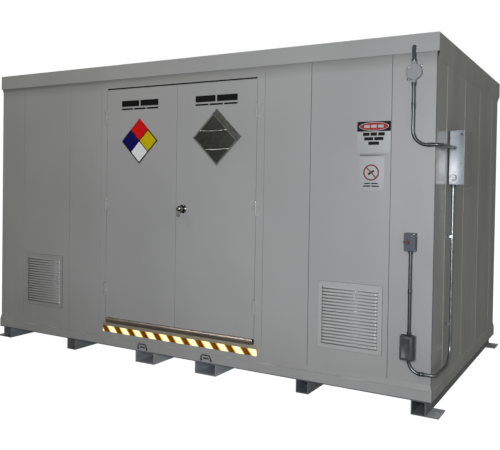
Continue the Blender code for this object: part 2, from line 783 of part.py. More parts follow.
def build_lockset():
    middle = (LOCK_X, LEAF_MIDDLE, LOCK_Z)
    half_leaf = LEAF_THICKNESS / 2
    reach = half_leaf + KNOB_REACH
    start = half_leaf - 0.004
    outer = place(
        "knob_outer",
        turned([(r, d + 0.0005) for r, d in knob_profile(start, reach)], middle, (0, -1, 0)),
        "dull_chrome",
        middle,
        smooth=True,
    )
    face_y = LEAF_MIDDLE - reach - 0.0005
    bore = cylinder(
        (LOCK_X, face_y + PLUG_DEPTH / 2, LOCK_Z), PLUG_RADIUS + 0.0008, PLUG_DEPTH + 0.002, "Y"
    )
    combine(outer, "DIFFERENCE", cutter("plug_bore", bore))
    place(
        "knob_inner",
        turned([(r, d + 0.0005) for r, d in knob_profile(start, reach)], middle, (0, 1, 0)),
        "dull_chrome",
        middle,
        smooth=True,
    )

    ring = [
        (SHANK_RADIUS + 0.0008, 0.0),
        (ROSE_RADIUS, 0.0),
        (ROSE_RADIUS, ROSE_THICKNESS * 0.4),
        (ROSE_RADIUS - 0.004, ROSE_THICKNESS * 0.8),
        (ROSE_RADIUS - 0.010, ROSE_THICKNESS),
        (SHANK_RADIUS + 0.0008, ROSE_THICKNESS),
        (SHANK_RADIUS + 0.0008, 0.0),
    ]
    for name, way, face in (
        ("knob_rose_outer", -1, LEAF_FRONT),
        ("knob_rose_inner", 1, LEAF_FRONT + LEAF_THICKNESS),
    ):
        centre = (LOCK_X, face + way * GAP, LOCK_Z)
        place(name, turned(ring, centre, (0, way, 0)), "dull_chrome", smooth=True)

    length, thickness, height = LATCH_SIZE
    tip = LEAF_GAP / 2 + 0.0004
    front = LEAF_MIDDLE - thickness / 2
    back = LEAF_MIDDLE + thickness / 2
    outline = [
        (tip, front + 0.003),
        (tip + 0.010, front),
        (tip + length, front),
        (tip + length, back),
        (tip, back),
    ]
    latch = prism(outline, 2, LOCK_Z - height / 2, LOCK_Z + height / 2)
    place("latch_bolt", latch, "dull_chrome", middle)

    plug_front = face_y - 0.0006
    plug = place(
        "lock_plug",
        cylinder(
            (LOCK_X, plug_front + (PLUG_DEPTH - 0.001) / 2, LOCK_Z),
            PLUG_RADIUS,
            PLUG_DEPTH - 0.001,
            "Y",
        ),
        "dull_chrome",
        middle,
        smooth=True,
    )
    blade = (0.0024, 0.009)
    slot_end = plug_front + 0.015
    slot = box_between(
        (LOCK_X - blade[0] / 2 - 0.0004, plug_front - 0.01, LOCK_Z - blade[1] / 2 - 0.0004),
        (LOCK_X + blade[0] / 2 + 0.0004, slot_end, LOCK_Z + blade[1] / 2 + 0.0004),
    )
    combine(plug, "DIFFERENCE", cutter("keyway", slot))

    bow_start = plug_front - 0.004
    bow = 0.0115
    outline = [
        (slot_end - 0.0006, LOCK_Z - blade[1] / 2),
        (slot_end - 0.0006, LOCK_Z + blade[1] / 2),
        (bow_start, LOCK_Z + blade[1] / 2),
    ]
    first = math.asin(blade[1] / 2 / bow)
    centre_y = bow_start - bow * math.cos(first)
    steps = 12
    for step in range(1, steps):
        angle = first + (math.radians(360) - 2 * first) * step / steps
        outline.append((centre_y + bow * math.cos(angle), LOCK_Z + bow * math.sin(angle)))
    outline.append((bow_start, LOCK_Z - blade[1] / 2))
    key = prism(outline, 0, LOCK_X - blade[0] / 2, LOCK_X + blade[0] / 2)
    place("door_key", key, "dull_chrome", middle)

    for name, end, way in (
        ("flush_bolt_top", LEAF_TOP, -1),
        ("flush_bolt_bottom", LEAF_BOTTOM, 1),
    ):
        centre = (BOLT_X, LEAF_MIDDLE, end + way * (BOLT_LENGTH / 2 + 0.0006))
        rod = cylinder(centre, BOLT_RADIUS, BOLT_LENGTH, "Z", 16)
        place(name, rod, "dull_chrome", centre, smooth=True)


def build_louvres():
    """A pressed vent panel on each side: sloping slots leave the blades between them."""
    length, slot = LOUVRE_SLOT
    front = -GAP - LOUVRE_THICKNESS
    slope = LOUVRE_THICKNESS * 0.9
    first = LOUVRE_Z - LOUVRE_PITCH * (LOUVRE_BLADES - 1) / 2
    for side, name in ((-1, "louvre_left"), (1, "louvre_right")):
        centre = (side * LOUVRE_X, -GAP - LOUVRE_THICKNESS / 2, LOUVRE_Z)
        size = (LOUVRE_SIZE, LOUVRE_THICKNESS, LOUVRE_SIZE)
        louvre = place(name, box_about(centre, size), "wall_paint")
        slots = bmesh.new()
        for blade in range(LOUVRE_BLADES):
            low = first + LOUVRE_PITCH * blade - slot / 2
            outline = [
                (front - 0.002, low - slope * 0.2),
                (front - 0.002, low + slot - slope * 0.2),
                (0.004, low + slot + slope * 1.4),
                (0.004, low + slope * 1.4),
            ]
            low_x = side * LOUVRE_X - length / 2
            add_prism(slots, outline, 0, low_x, low_x + length)
        combine(louvre, "DIFFERENCE", cutter(f"{name}_slots", slots))


def diamond(name, centre_x, centre_z, half, thickness, finish):
    outline = [
        (centre_x, centre_z + half),
        (centre_x - half, centre_z),
        (centre_x, centre_z - half),
        (centre_x + half, centre_z),
    ]
    back = LEAF_FRONT - GAP
    place(name, prism(outline, 1, back - thickness, back), finish)


def build_signs():
    diamond("hazard_diamond", DIAMOND_X, DIAMOND_Z, DIAMOND_HALF, SIGN_THICKNESS, "sign_vinyl")
    diamond("placard_holder", HOLDER_X, HOLDER_Z, HOLDER_HALF, HOLDER_THICKNESS, "aluminium")
    low, high = TAPE_BAND
    tape = box_between((-TAPE_HALF, -GAP - SIGN_THICKNESS, low), (TAPE_HALF, -GAP, high))
    place("hazard_tape", tape, "sign_vinyl")


def build_junction_box():
    centre = Vector((JUNCTION_X, -GAP - JUNCTION_DEPTH / 2, JUNCTION_Z))
    body = place(
        "junction_box",
        cylinder(centre, JUNCTION_RADIUS, JUNCTION_DEPTH, "Y", 32),
        "wall_paint",
        smooth=True,
    )
    hubs = cylinder(
        (JUNCTION_X, PIPE_Y, JUNCTION_Z), HUB_RADIUS, 2 * HUB_REACH, "Z", 20
    )
    ears = bmesh.new()
    for side in (-1, 1):
        ear = (
            JUNCTION_X + side * (JUNCTION_RADIUS + 0.004) * 0.72,
            -GAP - 0.003,
            JUNCTION_Z + side * (JUNCTION_RADIUS + 0.004) * 0.72,
        )
        add_cylinder(ears, ear, 0.014, 0.006, "Y", 16)
    combine(body, "UNION", cutter("junction_hubs", hubs), cutter("junction_ears", ears))


def build_upper_pipes():
    hub_top = JUNCTION_Z + HUB_REACH + GAP
    hub_bottom = JUNCTION_Z - HUB_REACH - GAP
    fascia_bottom = FOOT + BODY - FASCIA_HEIGHT
    fascia_face = -FASCIA_PROUD - GAP
    swing_y = fascia_face - 0.0165
    pipe(
        "roof_conduit",
        [
            (JUNCTION_X, PIPE_Y, hub_top),
            (JUNCTION_X, PIPE_Y, hub_top + 0.012),
            (JUNCTION_X, swing_y, fascia_bottom + 0.005),
            (JUNCTION_X, swing_y, fascia_bottom + 0.040),
            (JUNCTION_X, fascia_face, fascia_bottom + 0.040),
        ],
        [0.010, 0.020, 0.016],
        "black_polymer",
        radius=0.0135,
    )
    corner_x = ENTRY_X
    pipe(
        "conduit_upper",
        [
            (JUNCTION_X, PIPE_Y, hub_bottom),
            (JUNCTION_X, PIPE_Y, UPPER_RUN_Z),
            (HALF - 0.036, PIPE_Y, UPPER_RUN_Z),
        ],
        [0.100],
        "galvanised_steel",
        collars=[(0.165, 0.020, 1.22)],
    )
    pipe(
        "corner_elbow_upper",
        [
            (HALF - 0.036 + GAP, PIPE_Y, UPPER_RUN_Z),
            (corner_x, PIPE_Y, UPPER_RUN_Z),
            (corner_x, BREAKER_Y - GAP, UPPER_RUN_Z),
        ],
        [0.034],
        "galvanised_steel",
        collars=[(0.0, 0.110, 1.35), (-0.016, 0.016, 1.40)],
    )


def build_breaker_box():
    low = Vector((BREAKER_X, BREAKER_Y, BREAKER_BASE))
    high = low + Vector((BREAKER_DEPTH, BREAKER_WIDTH, BREAKER_HEIGHT))
    box = place("breaker_box", box_between(low, high), "wall_paint")
    margin = 0.006
    recess = box_between(
        (high.x - BREAKER_RECESS, low.y + margin, low.z + margin),
        (high.x + 0.1, high.y - margin, high.z - margin),
    )
    feet = bmesh.new()
    for along in (low.y + 0.03, high.y - 0.03):
        for up in (low.z + 0.03, high.z - 0.03):
            add_cylinder(feet, ((HALF + GAP + low.x) / 2 + 0.001, along, up), 0.010, 0.0096, "X", 16)
    combine(box, "UNION", cutter("breaker_feet", feet))
    combine(box, "DIFFERENCE", cutter("breaker_recess", recess))
    lip = 0.002
    hinge = (high.x + GAP, (low.y + high.y) / 2, high.z + 0.001)
    cover = box_between(
        (high.x + GAP, low.y - lip, low.z - lip),
        (high.x + GAP + COVER_THICKNESS, high.y + lip, high.z + 0.001),
    )
    place("breaker_cover", cover, "wall_paint", hinge)


def build_side_conduit():
    pipe(
        "conduit_side",
        [
            (SIDE_PIPE_X, SIDE_PIPE_Y, BREAKER_BASE - GAP),
            (SIDE_PIPE_X, SIDE_PIPE_Y, LOWER_RUN_Z),
            (SIDE_PIPE_X, PIPE_Y, LOWER_RUN_Z),
            (HALF - 0.036, PIPE_Y, LOWER_RUN_Z),
        ],
        [0.130, 0.030],
        "galvanised_steel",
        collars=[(0.0, 0.018, 1.40), (-0.105, 0.105, 1.35)],
    )
    box_bottom = OUTLET_Z - OUTLET_BOX[2] / 2 - GAP
    pipe(
        "conduit_lower",
        [
            (JUNCTION_X, PIPE_Y, box_bottom),
            (JUNCTION_X, PIPE_Y, LOWER_RUN_Z),
            (HALF - 0.036 - GAP, PIPE_Y, LOWER_RUN_Z),
        ],
        [0.080],
        "galvanised_steel",
        collars=[(-0.024, 0.012, 1.30)],
    )
    box_top = OUTLET_Z + OUTLET_BOX[2] / 2 + GAP
    switch_bottom = SWITCH_Z - SWITCH_SIZE[2] / 2 - GAP
    pipe(
        "conduit_middle",
        [
            (JUNCTION_X, PIPE_Y, switch_bottom),
            (JUNCTION_X, PIPE_Y, box_top),
        ],
        [],
        "galvanised_steel",
        collars=[(0.0, 0.014, 1.30), (-0.014, 0.014, 1.30)],
    )


def build_switch():
    width, depth, height = SWITCH_SIZE
    centre = (JUNCTION_X, -GAP - depth / 2, SWITCH_Z)
    body = box_about(centre, SWITCH_SIZE)
    edges = [edge for edge in body.edges if abs(edge.verts[0].co.y - edge.verts[1].co.y) > 0.01]
    bmesh.ops.bevel(
        body, geom=edges, offset=0.008, affect="EDGES", segments=3, profile=0.5, material=-1
    )
    place("switch_box", body, "dark_casting", smooth=True)
    face = -GAP - depth
    pivot = (JUNCTION_X - 0.012, face - GAP, SWITCH_Z)
    lever = place(
        "switch_lever",
        cylinder((pivot[0], pivot[1] - 0.006, pivot[2]), 0.011, 0.012, "Y", 20),
        "red_paint",
        pivot,
        smooth=True,
    )
    arm = box_between(
        (pivot[0] - LEVER_REACH, pivot[1] - 0.011, pivot[2] - 0.0055),
        (pivot[0], pivot[1] - 0.004, pivot[2] + 0.0055),
    )
    combine(lever, "UNION", cutter("lever_arm", arm))


def build_outlet():
    width, depth, height = OUTLET_BOX
    box_centre = (JUNCTION_X, -GAP - depth / 2, OUTLET_Z)
    body = place("outlet_box", box_about(box_centre, OUTLET_BOX), "dark_casting")
    flange_size = (OUTLET_FLANGE[0], OUTLET_FLANGE[1] + 0.002, OUTLET_FLANGE[2])
    flange_y = -GAP - depth - OUTLET_FLANGE[1] / 2 + 0.001
    flange = box_about((JUNCTION_X, flange_y, OUTLET_Z), flange_size)
    combine(body, "UNION", cutter("outlet_flange", flange))

    back = -depth - OUTLET_FLANGE[1] - 2 * GAP
    cover_width, cover_depth, cover_height = OUTLET_COVER
    top = OUTLET_Z + cover_height / 2
    hinge = (JUNCTION_X, back, top + 0.0005)
    low = (JUNCTION_X - cover_width / 2, back - cover_depth, OUTLET_Z - cover_height / 2)
    high = (JUNCTION_X + cover_width / 2, back, top)
    cover = box_between(low, high)
    front_edges = [
        edge for edge in cover.edges if max(v.co.y for v in edge.verts) < back - cover_depth / 2
    ]
    bmesh.ops.bevel(
        cover, geom=front_edges, offset=0.012, affect="EDGES", segments=3, profile=0.5, material=-1
    )
    lid = place("outlet_cover", cover, "dark_casting", hinge, smooth=True)
    inside = box_between(
        (low[0] + OUTLET_WALL, low[1] + OUTLET_WALL + 0.004, low[2] + OUTLET_WALL),
        (high[0] - OUTLET_WALL, high[1] + 0.05, high[2] - OUTLET_WALL),
    )
    combine(lid, "DIFFERENCE", cutter("outlet_cover_inside", inside))


def build_light():
    ceiling = WALL_TOP
    profile = [
        (0.0, 0.0),
        (LIGHT_RADIUS, 0.0),
        (LIGHT_RADIUS, 0.030),
        (0.055, 0.045),
        (0.055, 0.060),
        (0.050, 0.062),
        (0.050, 0.140),
        (0.042, 0.165),
        (0.022, 0.180),
        (0.0, 0.183),
    ]
    centre = (0.0, LIGHT_Y, ceiling - GAP)
    place("ceiling_light", turned(profile, centre, (0, 0, -1)), "lamp_glass", smooth=True)


def main():
    clear_scene()
    origin = bpy.data.objects.new("building_origin", None)
    shift_x = -(RIGHT_REACH - LEFT_REACH) / 2
    shift_y = -(REAR_REACH - FRONT_REACH) / 2
    origin.location = (shift_x, shift_y, 0.0)
    bpy.context.collection.objects.link(origin)
    build_base()
    build_floor()
    build_skids()
    build_walls()
    build_roof()
    build_doors()
    build_hinge_pins()
    build_lockset()
    build_louvres()
    build_signs()
    build_junction_box()
    build_upper_pipes()
    build_breaker_box()
    build_side_conduit()
    build_switch()
    build_outlet()
    build_light()


if __name__ == "__main__":
    main()
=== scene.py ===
"""Looks for a steel hazardous material storage building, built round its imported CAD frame.

Building coordinates: X along the front from the middle of the doorway, Y from the front wall's
outer face to the rear, Z up from the ground. at() turns them into the frame's coordinates.
"""

import json
import math
import random

import bmesh
import bpy
from mathutils import Matrix, Vector

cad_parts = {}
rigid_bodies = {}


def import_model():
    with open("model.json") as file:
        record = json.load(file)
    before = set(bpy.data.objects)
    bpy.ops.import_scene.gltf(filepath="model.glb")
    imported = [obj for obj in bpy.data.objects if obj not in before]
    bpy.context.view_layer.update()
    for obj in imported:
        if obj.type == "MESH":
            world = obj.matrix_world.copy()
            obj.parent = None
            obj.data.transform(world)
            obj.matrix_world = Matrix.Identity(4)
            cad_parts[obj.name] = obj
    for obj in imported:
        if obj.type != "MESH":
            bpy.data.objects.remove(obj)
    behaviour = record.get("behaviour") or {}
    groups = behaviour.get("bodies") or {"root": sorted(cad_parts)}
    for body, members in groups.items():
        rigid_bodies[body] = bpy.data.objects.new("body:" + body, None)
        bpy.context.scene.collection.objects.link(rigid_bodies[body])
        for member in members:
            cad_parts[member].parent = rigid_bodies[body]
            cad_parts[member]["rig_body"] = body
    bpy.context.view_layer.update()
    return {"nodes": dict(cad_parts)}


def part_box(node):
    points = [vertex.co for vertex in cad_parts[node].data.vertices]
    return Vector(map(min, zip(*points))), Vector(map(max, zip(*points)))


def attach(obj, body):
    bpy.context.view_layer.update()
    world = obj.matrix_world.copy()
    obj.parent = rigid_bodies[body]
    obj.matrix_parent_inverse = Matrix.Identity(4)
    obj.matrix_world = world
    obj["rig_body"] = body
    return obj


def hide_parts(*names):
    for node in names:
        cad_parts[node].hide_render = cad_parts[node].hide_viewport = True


bl_info = {
    "name": "Hazardous material storage building",
    "version": (1, 0, 0),
    "blender": (4, 5, 0),
    "location": "View3D > Sidebar > Storage",
    "description": "Builds the finishes and fittings of a steel storage building on its CAD frame",
    "category": "Object",
}

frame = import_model()

# Places that the frame gives
SILL_LOW, SILL_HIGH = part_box("front_wall_sill")
MIDDLE_X = (SILL_LOW.x + SILL_HIGH.x) / 2
FRONT_Y = SILL_LOW.y
RIGHT_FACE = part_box("right_wall")[1].x - MIDDLE_X
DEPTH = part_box("rear_wall")[1].y - FRONT_Y
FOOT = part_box("base_frame")[0].z
FASCIA_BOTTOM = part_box("roof_cap")[0].z
SKIRT_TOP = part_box("base_frame")[1].z
SKIRT_PROUD = FRONT_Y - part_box("base_frame")[0].y
LEAF_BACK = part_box("door_leaf_right")[1].y - FRONT_Y
LEAF_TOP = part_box("door_leaf_right")[1].z

# Places and sizes in metres that its boxes don't give
GAP = 0.0004  # between pieces that would touch
LEAF_FRONT = -0.001
PIPE = 0.012  # radius of the conduit
PIPE_Y = -0.019


def at(x, y, z):
    return Vector((MIDDLE_X + x, FRONT_Y + y, z))


def middle_of(node):
    low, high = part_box(node)
    centre = (low + high) / 2
    return centre - Vector((MIDDLE_X, FRONT_Y, 0.0))


def riser(z):
    """A point on the middle of the upright run of conduit on the front."""
    return at(JUNCTION_X, PIPE_Y, z)


FRAME_EDGE = 0.8295  # half the door frame's width
SEAM_DEPTH = 0.004  # of the grooves between wall sheets
SEAM_LIP = 0.002
SKIRT_LINE = SKIRT_TOP + 0.0012
FLASHING_TOP = SKIRT_LINE + 0.041
SKIRT_LIP = SKIRT_PROUD - GAP
CLOSER_HEIGHT = 0.050  # of the sloped sheet under the fascia
# Size of the dark strip round the skirt's foot: painted shadow under the skirt's edge
EDGE_SHADOW_THICK, EDGE_SHADOW_HEIGHT = 0.0008, 0.0066
BEAD_RADIUS, BEAD_SWELL = 0.0008, 0.0020
SPLASH_FULL, SPLASH_END = 0.16, 0.60  # heights of the dirt on the walls
# Height of the band of painted shade under the front's fascia
FASCIA_SHADE_BAND = 0.100
POCKET_X = 0.328
PLATE_START = 2.1008  # where the hold-down plates leave the outer skids
VENT_SHEET = 0.0012
STRIPE_SLANT, STRIPE_SHIFT = 0.80, 0.032
LOCK_X = 0.0715
LOCK_Z = middle_of("knob_outer").z
JUNCTION_X = RIGHT_FACE - 0.150  # of the upright run of conduit on the front
JUNCTION_Z = middle_of("junction_box").z
OUTLET_Z = middle_of("outlet_box").z
LOWER_RUN_Z = FOOT + 0.190

# The camera, fitted to the building's corners: its turn is yaw, pitch and roll in radians
CAMERA_PLACE = (3.1783, -5.5548, 1.5501)
CAMERA_TURN = (0.524196, -0.0170347, 0.0151872)
CAMERA_SHIFT = (0.00748, -0.05758)


# Settings

class StorageFinish(bpy.types.PropertyGroup):
    wall_colour: bpy.props.FloatVectorProperty(
        name="Wall enamel", description="Colour of the walls, doors and roof",
        subtype="COLOR", size=3, min=0.0, max=1.0, default=(0.402, 0.403, 0.396))
    skid_colour: bpy.props.FloatVectorProperty(
        name="Skid enamel", description="Colour of the skids and fork pockets",
        subtype="COLOR", size=3, min=0.0, max=1.0, default=(0.148, 0.160, 0.168))
    casting_colour: bpy.props.FloatVectorProperty(
        name="Box enamel", description="Colour of the switch and outlet boxes",
        subtype="COLOR", size=3, min=0.0, max=1.0, default=(0.075, 0.085, 0.10))
    edge_radius: bpy.props.FloatProperty(
        name="Sheet edge radius", description="Radius of folded sheet edges",
        unit="LENGTH", min=0.0, max=0.004, default=0.0012)
    peel: bpy.props.FloatProperty(
        name="Orange peel", description="Depth of the enamel's orange peel",
        unit="LENGTH", min=0.0, max=0.001, default=0.00006)
    waviness: bpy.props.FloatProperty(
        name="Sheet waviness", description="How far the wall sheets dish between their folds",
        unit="LENGTH", min=0.0, max=0.01, default=0.0022)


class StorageVents(bpy.types.PropertyGroup):
    blades: bpy.props.IntProperty(
        name="Blades", description="Hoods pressed in each louvre", min=4, max=30, default=18)
    pitch: bpy.props.FloatProperty(
        name="Blade pitch", description="Height from one hood to the next",
        unit="LENGTH", min=0.01, max=0.05, default=0.0235)
    field: bpy.props.FloatProperty(
        name="Blade length", description="Length of each hood",
        unit="LENGTH", min=0.2, max=0.46, default=0.424)
    hood: bpy.props.FloatProperty(
        name="Hood height", description="Height of each hood",
        unit="LENGTH", min=0.005, max=0.02, default=0.0150)


class StorageSigns(bpy.types.PropertyGroup):
    stripe_pitch: bpy.props.FloatProperty(
        name="Stripe pitch", description="Distance from one reflective stripe to the next",
        unit="LENGTH", min=0.05, max=0.3, default=0.1448)
    # The stripes' glow is painted light: emission standing for the light that the reflective
    # stripes send back.
    stripe_painted_glow: bpy.props.FloatProperty(
        name="Stripe glow", description="Light that the reflective stripes send back",
        min=0.0, max=5.0, default=0.85)


class StorageStage(bpy.types.PropertyGroup):
    focal_length: bpy.props.FloatProperty(
        name="Focal length", description="Camera lens", subtype="NONE",
        min=20.0, max=120.0, default=46.54)
    key_power: bpy.props.FloatProperty(
        name="Key light", description="Power of the light beside the camera",
        unit="POWER", min=0.0, max=5000.0, default=182.0)
    corner_power: bpy.props.FloatProperty(
        name="Corner light", description="Power of the light high up on the left",
        unit="POWER", min=0.0, max=5000.0, default=31.0)
    rear_power: bpy.props.FloatProperty(
        name="Rear light", description="Power of the light behind the building",
        unit="POWER", min=0.0, max=5000.0, default=200.0)
    side_glow: bpy.props.FloatProperty(
        name="Side glow", description="Strength of the soft light from the right-hand side",
        min=0.0, max=2.0, default=0.34)
    ambient: bpy.props.FloatProperty(
        name="Ambient light", description="Strength of the soft light from all round",
        min=0.0, max=2.0, default=0.11)


def finish():
    return bpy.context.scene.storage_finish


# Materials

def node(tree, kind, inputs, **settings):
    """A shader node, its settings, and its inputs as values or as sockets to link."""
    made = tree.nodes.new(kind)
    for name, value in settings.items():
        setattr(made, name, value)
    for name, value in inputs.items():
        if isinstance(value, bpy.types.NodeSocket):
            tree.links.new(value, made.inputs[name])
        else:
            made.inputs[name].default_value = value
    return made


def ramp(tree, factor, stops):
    """Colours along a factor. A stop is its place and its grey level or colour."""
    made = node(tree, "ShaderNodeValToRGB", {"Fac": factor})
    elements = made.color_ramp.elements
    while len(elements) < len(stops):
        elements.new(0.5)
    for element, (position, tone) in zip(elements, stops):
        element.position = position
        element.color = (*tone, 1.0) if isinstance(tone, tuple) else (tone, tone, tone, 1.0)
    return made.outputs["Color"]


def noise(tree, coordinates, scale, detail=2.0, roughness=0.5):
    inputs = {"Vector": coordinates, "Scale": scale, "Detail": detail, "Roughness": roughness}
    return node(tree, "ShaderNodeTexNoise", inputs).outputs["Fac"]


def calc(tree, operation, first, second):
    """The result of a sum of two values or sockets."""
    return node(tree, "ShaderNodeMath", {0: first, 1: second}, operation=operation).outputs[0]


def axes(tree, coordinates):
    """The sockets X, Y and Z of coordinates."""
    return node(tree, "ShaderNodeSeparateXYZ", {"Vector": coordinates}).outputs


def stretched(tree, coordinates, scale):
    """Coordinates scaled by axis, so that a pattern runs along one of them."""
    inputs = {"Vector": coordinates, "Scale": scale}
    return node(tree, "ShaderNodeMapping", inputs).outputs["Vector"]


def bump(tree, height, distance, strength=1.0, below=None):
    inputs = {"Height": height, "Distance": distance, "Strength": strength}
    if below is not None:
        inputs["Normal"] = below
    return node(tree, "ShaderNodeBump", inputs).outputs["Normal"]


def mixed(tree, factor, first, second):
    """Two colours mixed by a factor: inputs 6 and 7 and output 2 are the node's colour ones."""
    inputs = {0: factor, 6: first, 7: second}
    return node(tree, "ShaderNodeMix", inputs, data_type="RGBA").outputs[2]


def started(name, **sockets):
    """A named material, its node tree, its shader and its Object coordinates."""
    made = bpy.data.materials.new(name)
    made.use_nodes = True
    shader = made.node_tree.nodes["Principled BSDF"]
    for socket, value in sockets.items():
        shader.inputs[socket.replace("_", " ")].default_value = value
    where = node(made.node_tree, "ShaderNodeTexCoord", {}).outputs["Object"]
    return made, made.node_tree, shader, where


def link(tree, shader, **sockets):
    for socket, source in sockets.items():
        tree.links.new(source, shader.inputs[socket.replace("_", " ")])


def scaled(tone, factor):
    return tuple(min(1.0, part * factor) for part in tone)


def make_wall_enamel(name, tint=1.0):
    """Glossy enamel with splashed dirt low down and a band of painted shade under the front's
    fascia, standing for the fascia's shadow.
    """
    look = finish()
    made, tree, shader, where = started(name, Coat_Weight=0.75, Coat_Roughness=0.055, IOR=1.5)
    tone = scaled(look.wall_colour, tint)
    broad = noise(tree, where, 0.9, 3.0)
    paint = ramp(tree, broad, [(0.30, scaled(tone, 0.94)), (0.70, scaled(tone, 1.05))])
    place = axes(tree, where)
    reach = node(tree, "ShaderNodeMapRange", {
        "Value": place["Z"], "From Min": SPLASH_FULL, "From Max": SPLASH_END,
        "To Min": 1.0, "To Max": 0.0,
    }, interpolation_type="SMOOTHSTEP").outputs["Result"]
    streaks = noise(tree, stretched(tree, where, (14.0, 14.0, 1.4)), 1.0, 5.0, 0.6)
    splash = calc(tree, "MULTIPLY", calc(tree, "MULTIPLY", reach, streaks), 0.22)
    colour = mixed(tree, splash, paint, (0.20, 0.19, 0.165, 1.0))
    # Painted shade: the front darkens in a band just under the fascia, standing for the fascia's
    # shadow.
    under = node(tree, "ShaderNodeMapRange", {
        "Value": place["Z"], "From Min": FASCIA_BOTTOM - FASCIA_SHADE_BAND, "From Max": FASCIA_BOTTOM,
    }).outputs["Result"]
    under = calc(tree, "MULTIPLY", under, calc(tree, "LESS_THAN", place["Y"], FRONT_Y + 0.006))
    fascia_shade = ramp(tree, under, [(0.0, 0.0), (0.50, 0.22), (0.985, 0.40), (0.995, 0.0)])
    colour = mixed(tree, fascia_shade, colour, (0.13, 0.13, 0.11, 1.0))
    gloss = ramp(tree, noise(tree, where, 3.0, 5.0, 0.6), [(0.25, 0.34), (0.80, 0.48)])
    wave = noise(tree, stretched(tree, where, (1.7, 1.7, 0.75)), 1.0, 1.5)
    normal = bump(tree, wave, look.waviness * 10)
    normal = bump(tree, noise(tree, where, 210.0, 2.0), look.peel * 10, 0.6, normal)
    link(tree, shader, Base_Color=colour, Roughness=gloss, Normal=normal, Coat_Normal=normal)
    return made


def make_skid_enamel(name, tint=1.0):
    tone = scaled(finish().skid_colour, tint)
    made, tree, shader, where = started(name, Coat_Weight=0.05, Coat_Roughness=0.35)
    worn = noise(tree, stretched(tree, where, (9.0, 3.0, 9.0)), 1.0, 6.0, 0.65)
    paint = ramp(tree, worn, [(0.30, scaled(tone, 0.72)), (0.58, tone), (0.76, scaled(tone, 1.7))])
    chips = noise(tree, where, 55.0, 4.0, 0.7)
    bare = ramp(tree, chips, [(0.70, 0.0), (0.735, 1.0)])
    colour = mixed(tree, bare, paint, (0.24, 0.17, 0.12, 1.0))
    gloss = ramp(tree, worn, [(0.30, 0.42), (0.75, 0.68)])
    normal = bump(tree, noise(tree, where, 140.0, 3.0), 0.0007, 0.6)
    link(tree, shader, Base_Color=colour, Roughness=gloss, Normal=normal)
    return made


def make_galvanised(name, tone=(0.56, 0.58, 0.59), cell=90.0):
    made, tree, shader, where = started(name, Metallic=1.0)
    spangle = node(tree, "ShaderNodeTexVoronoi", {"Vector": where, "Scale": cell})
    shade = spangle.outputs["Color"]
    grey = node(tree, "ShaderNodeSeparateColor", {"Color": shade}).outputs["Red"]
    colour = ramp(tree, grey, [(0.0, scaled(tone, 0.82)), (1.0, scaled(tone, 1.10))])
    dull = noise(tree, where, 12.0, 5.0, 0.6)
    gloss = ramp(tree, dull, [(0.30, 0.26), (0.75, 0.44)])
    normal = bump(tree, dull, 0.0006, 0.5)
    link(tree, shader, Base_Color=colour, Roughness=gloss, Normal=normal)
    return made


def make_chrome(name, tone=(0.50, 0.49, 0.47)):
    made, tree, shader, where = started(name, Metallic=1.0)
    smudge = noise(tree, where, 70.0, 5.0, 0.65)
    colour = ramp(tree, smudge, [(0.30, scaled(tone, 0.80)), (0.70, scaled(tone, 1.08))])
    gloss = ramp(tree, smudge, [(0.30, 0.12), (0.75, 0.27)])
    normal = bump(tree, noise(tree, where, 900.0, 2.0), 0.00008, 0.5)
    link(tree, shader, Base_Color=colour, Roughness=gloss, Normal=normal)
    return made


def make_brushed(name, tone, low, high):
    """Bare metal with drawn lines that run along X, between two levels of roughness."""
    made, tree, shader, where = started(name, Metallic=1.0)
    lines = noise(tree, stretched(tree, where, (3.0, 260.0, 260.0)), 1.0, 4.0, 0.7)
    stains = noise(tree, where, 4.5, 5.0, 0.6)
    plain = ramp(tree, lines, [(0.30, scaled(tone, 0.78)), (0.70, scaled(tone, 1.12))])
    colour = mixed(tree, ramp(tree, stains, [(0.45, 0.0), (0.80, 0.55)]), plain,
                   (*scaled(tone, 0.42), 1.0))
    gloss = ramp(tree, lines, [(0.25, low), (0.75, high)])
    normal = bump(tree, lines, 0.00022, 0.7)
    link(tree, shader, Base_Color=colour, Roughness=gloss, Normal=normal)
    return made


def make_casting(name, tone=None):
    tone = scaled(tone or finish().casting_colour, 1.0)
    made, tree, shader, where = started(name)
    sand = noise(tree, where, 420.0, 3.0, 0.6)
    broad = noise(tree, where, 28.0, 4.0, 0.6)
    colour = ramp(tree, broad, [(0.28, scaled(tone, 0.75)), (0.72, scaled(tone, 1.35))])
    gloss = ramp(tree, broad, [(0.28, 0.38), (0.75, 0.58)])
    link(tree, shader, Base_Color=colour, Roughness=gloss, Normal=bump(tree, sand, 0.0004, 0.6))
    return made


def make_vinyl(name, tone, gloss=0.32, spread=0.06, coat=0.2, specular=0.5):
    made, tree, shader, where = started(
        name, Coat_Weight=coat, Coat_Roughness=0.15, Specular_IOR_Level=specular)
    fade = noise(tree, where, 9.0, 4.0, 0.6)
    colour = ramp(tree, fade, [(0.3, scaled(tone, 1 - spread)), (0.7, scaled(tone, 1 + spread))])
    rough = ramp(tree, noise(tree, where, 40.0, 3.0), [(0.3, gloss - 0.06), (0.7, gloss + 0.08)])
    normal = bump(tree, noise(tree, where, 160.0, 2.0), 0.0001, 0.5)
    link(tree, shader, Base_Color=colour, Roughness=rough, Normal=normal)
    return made


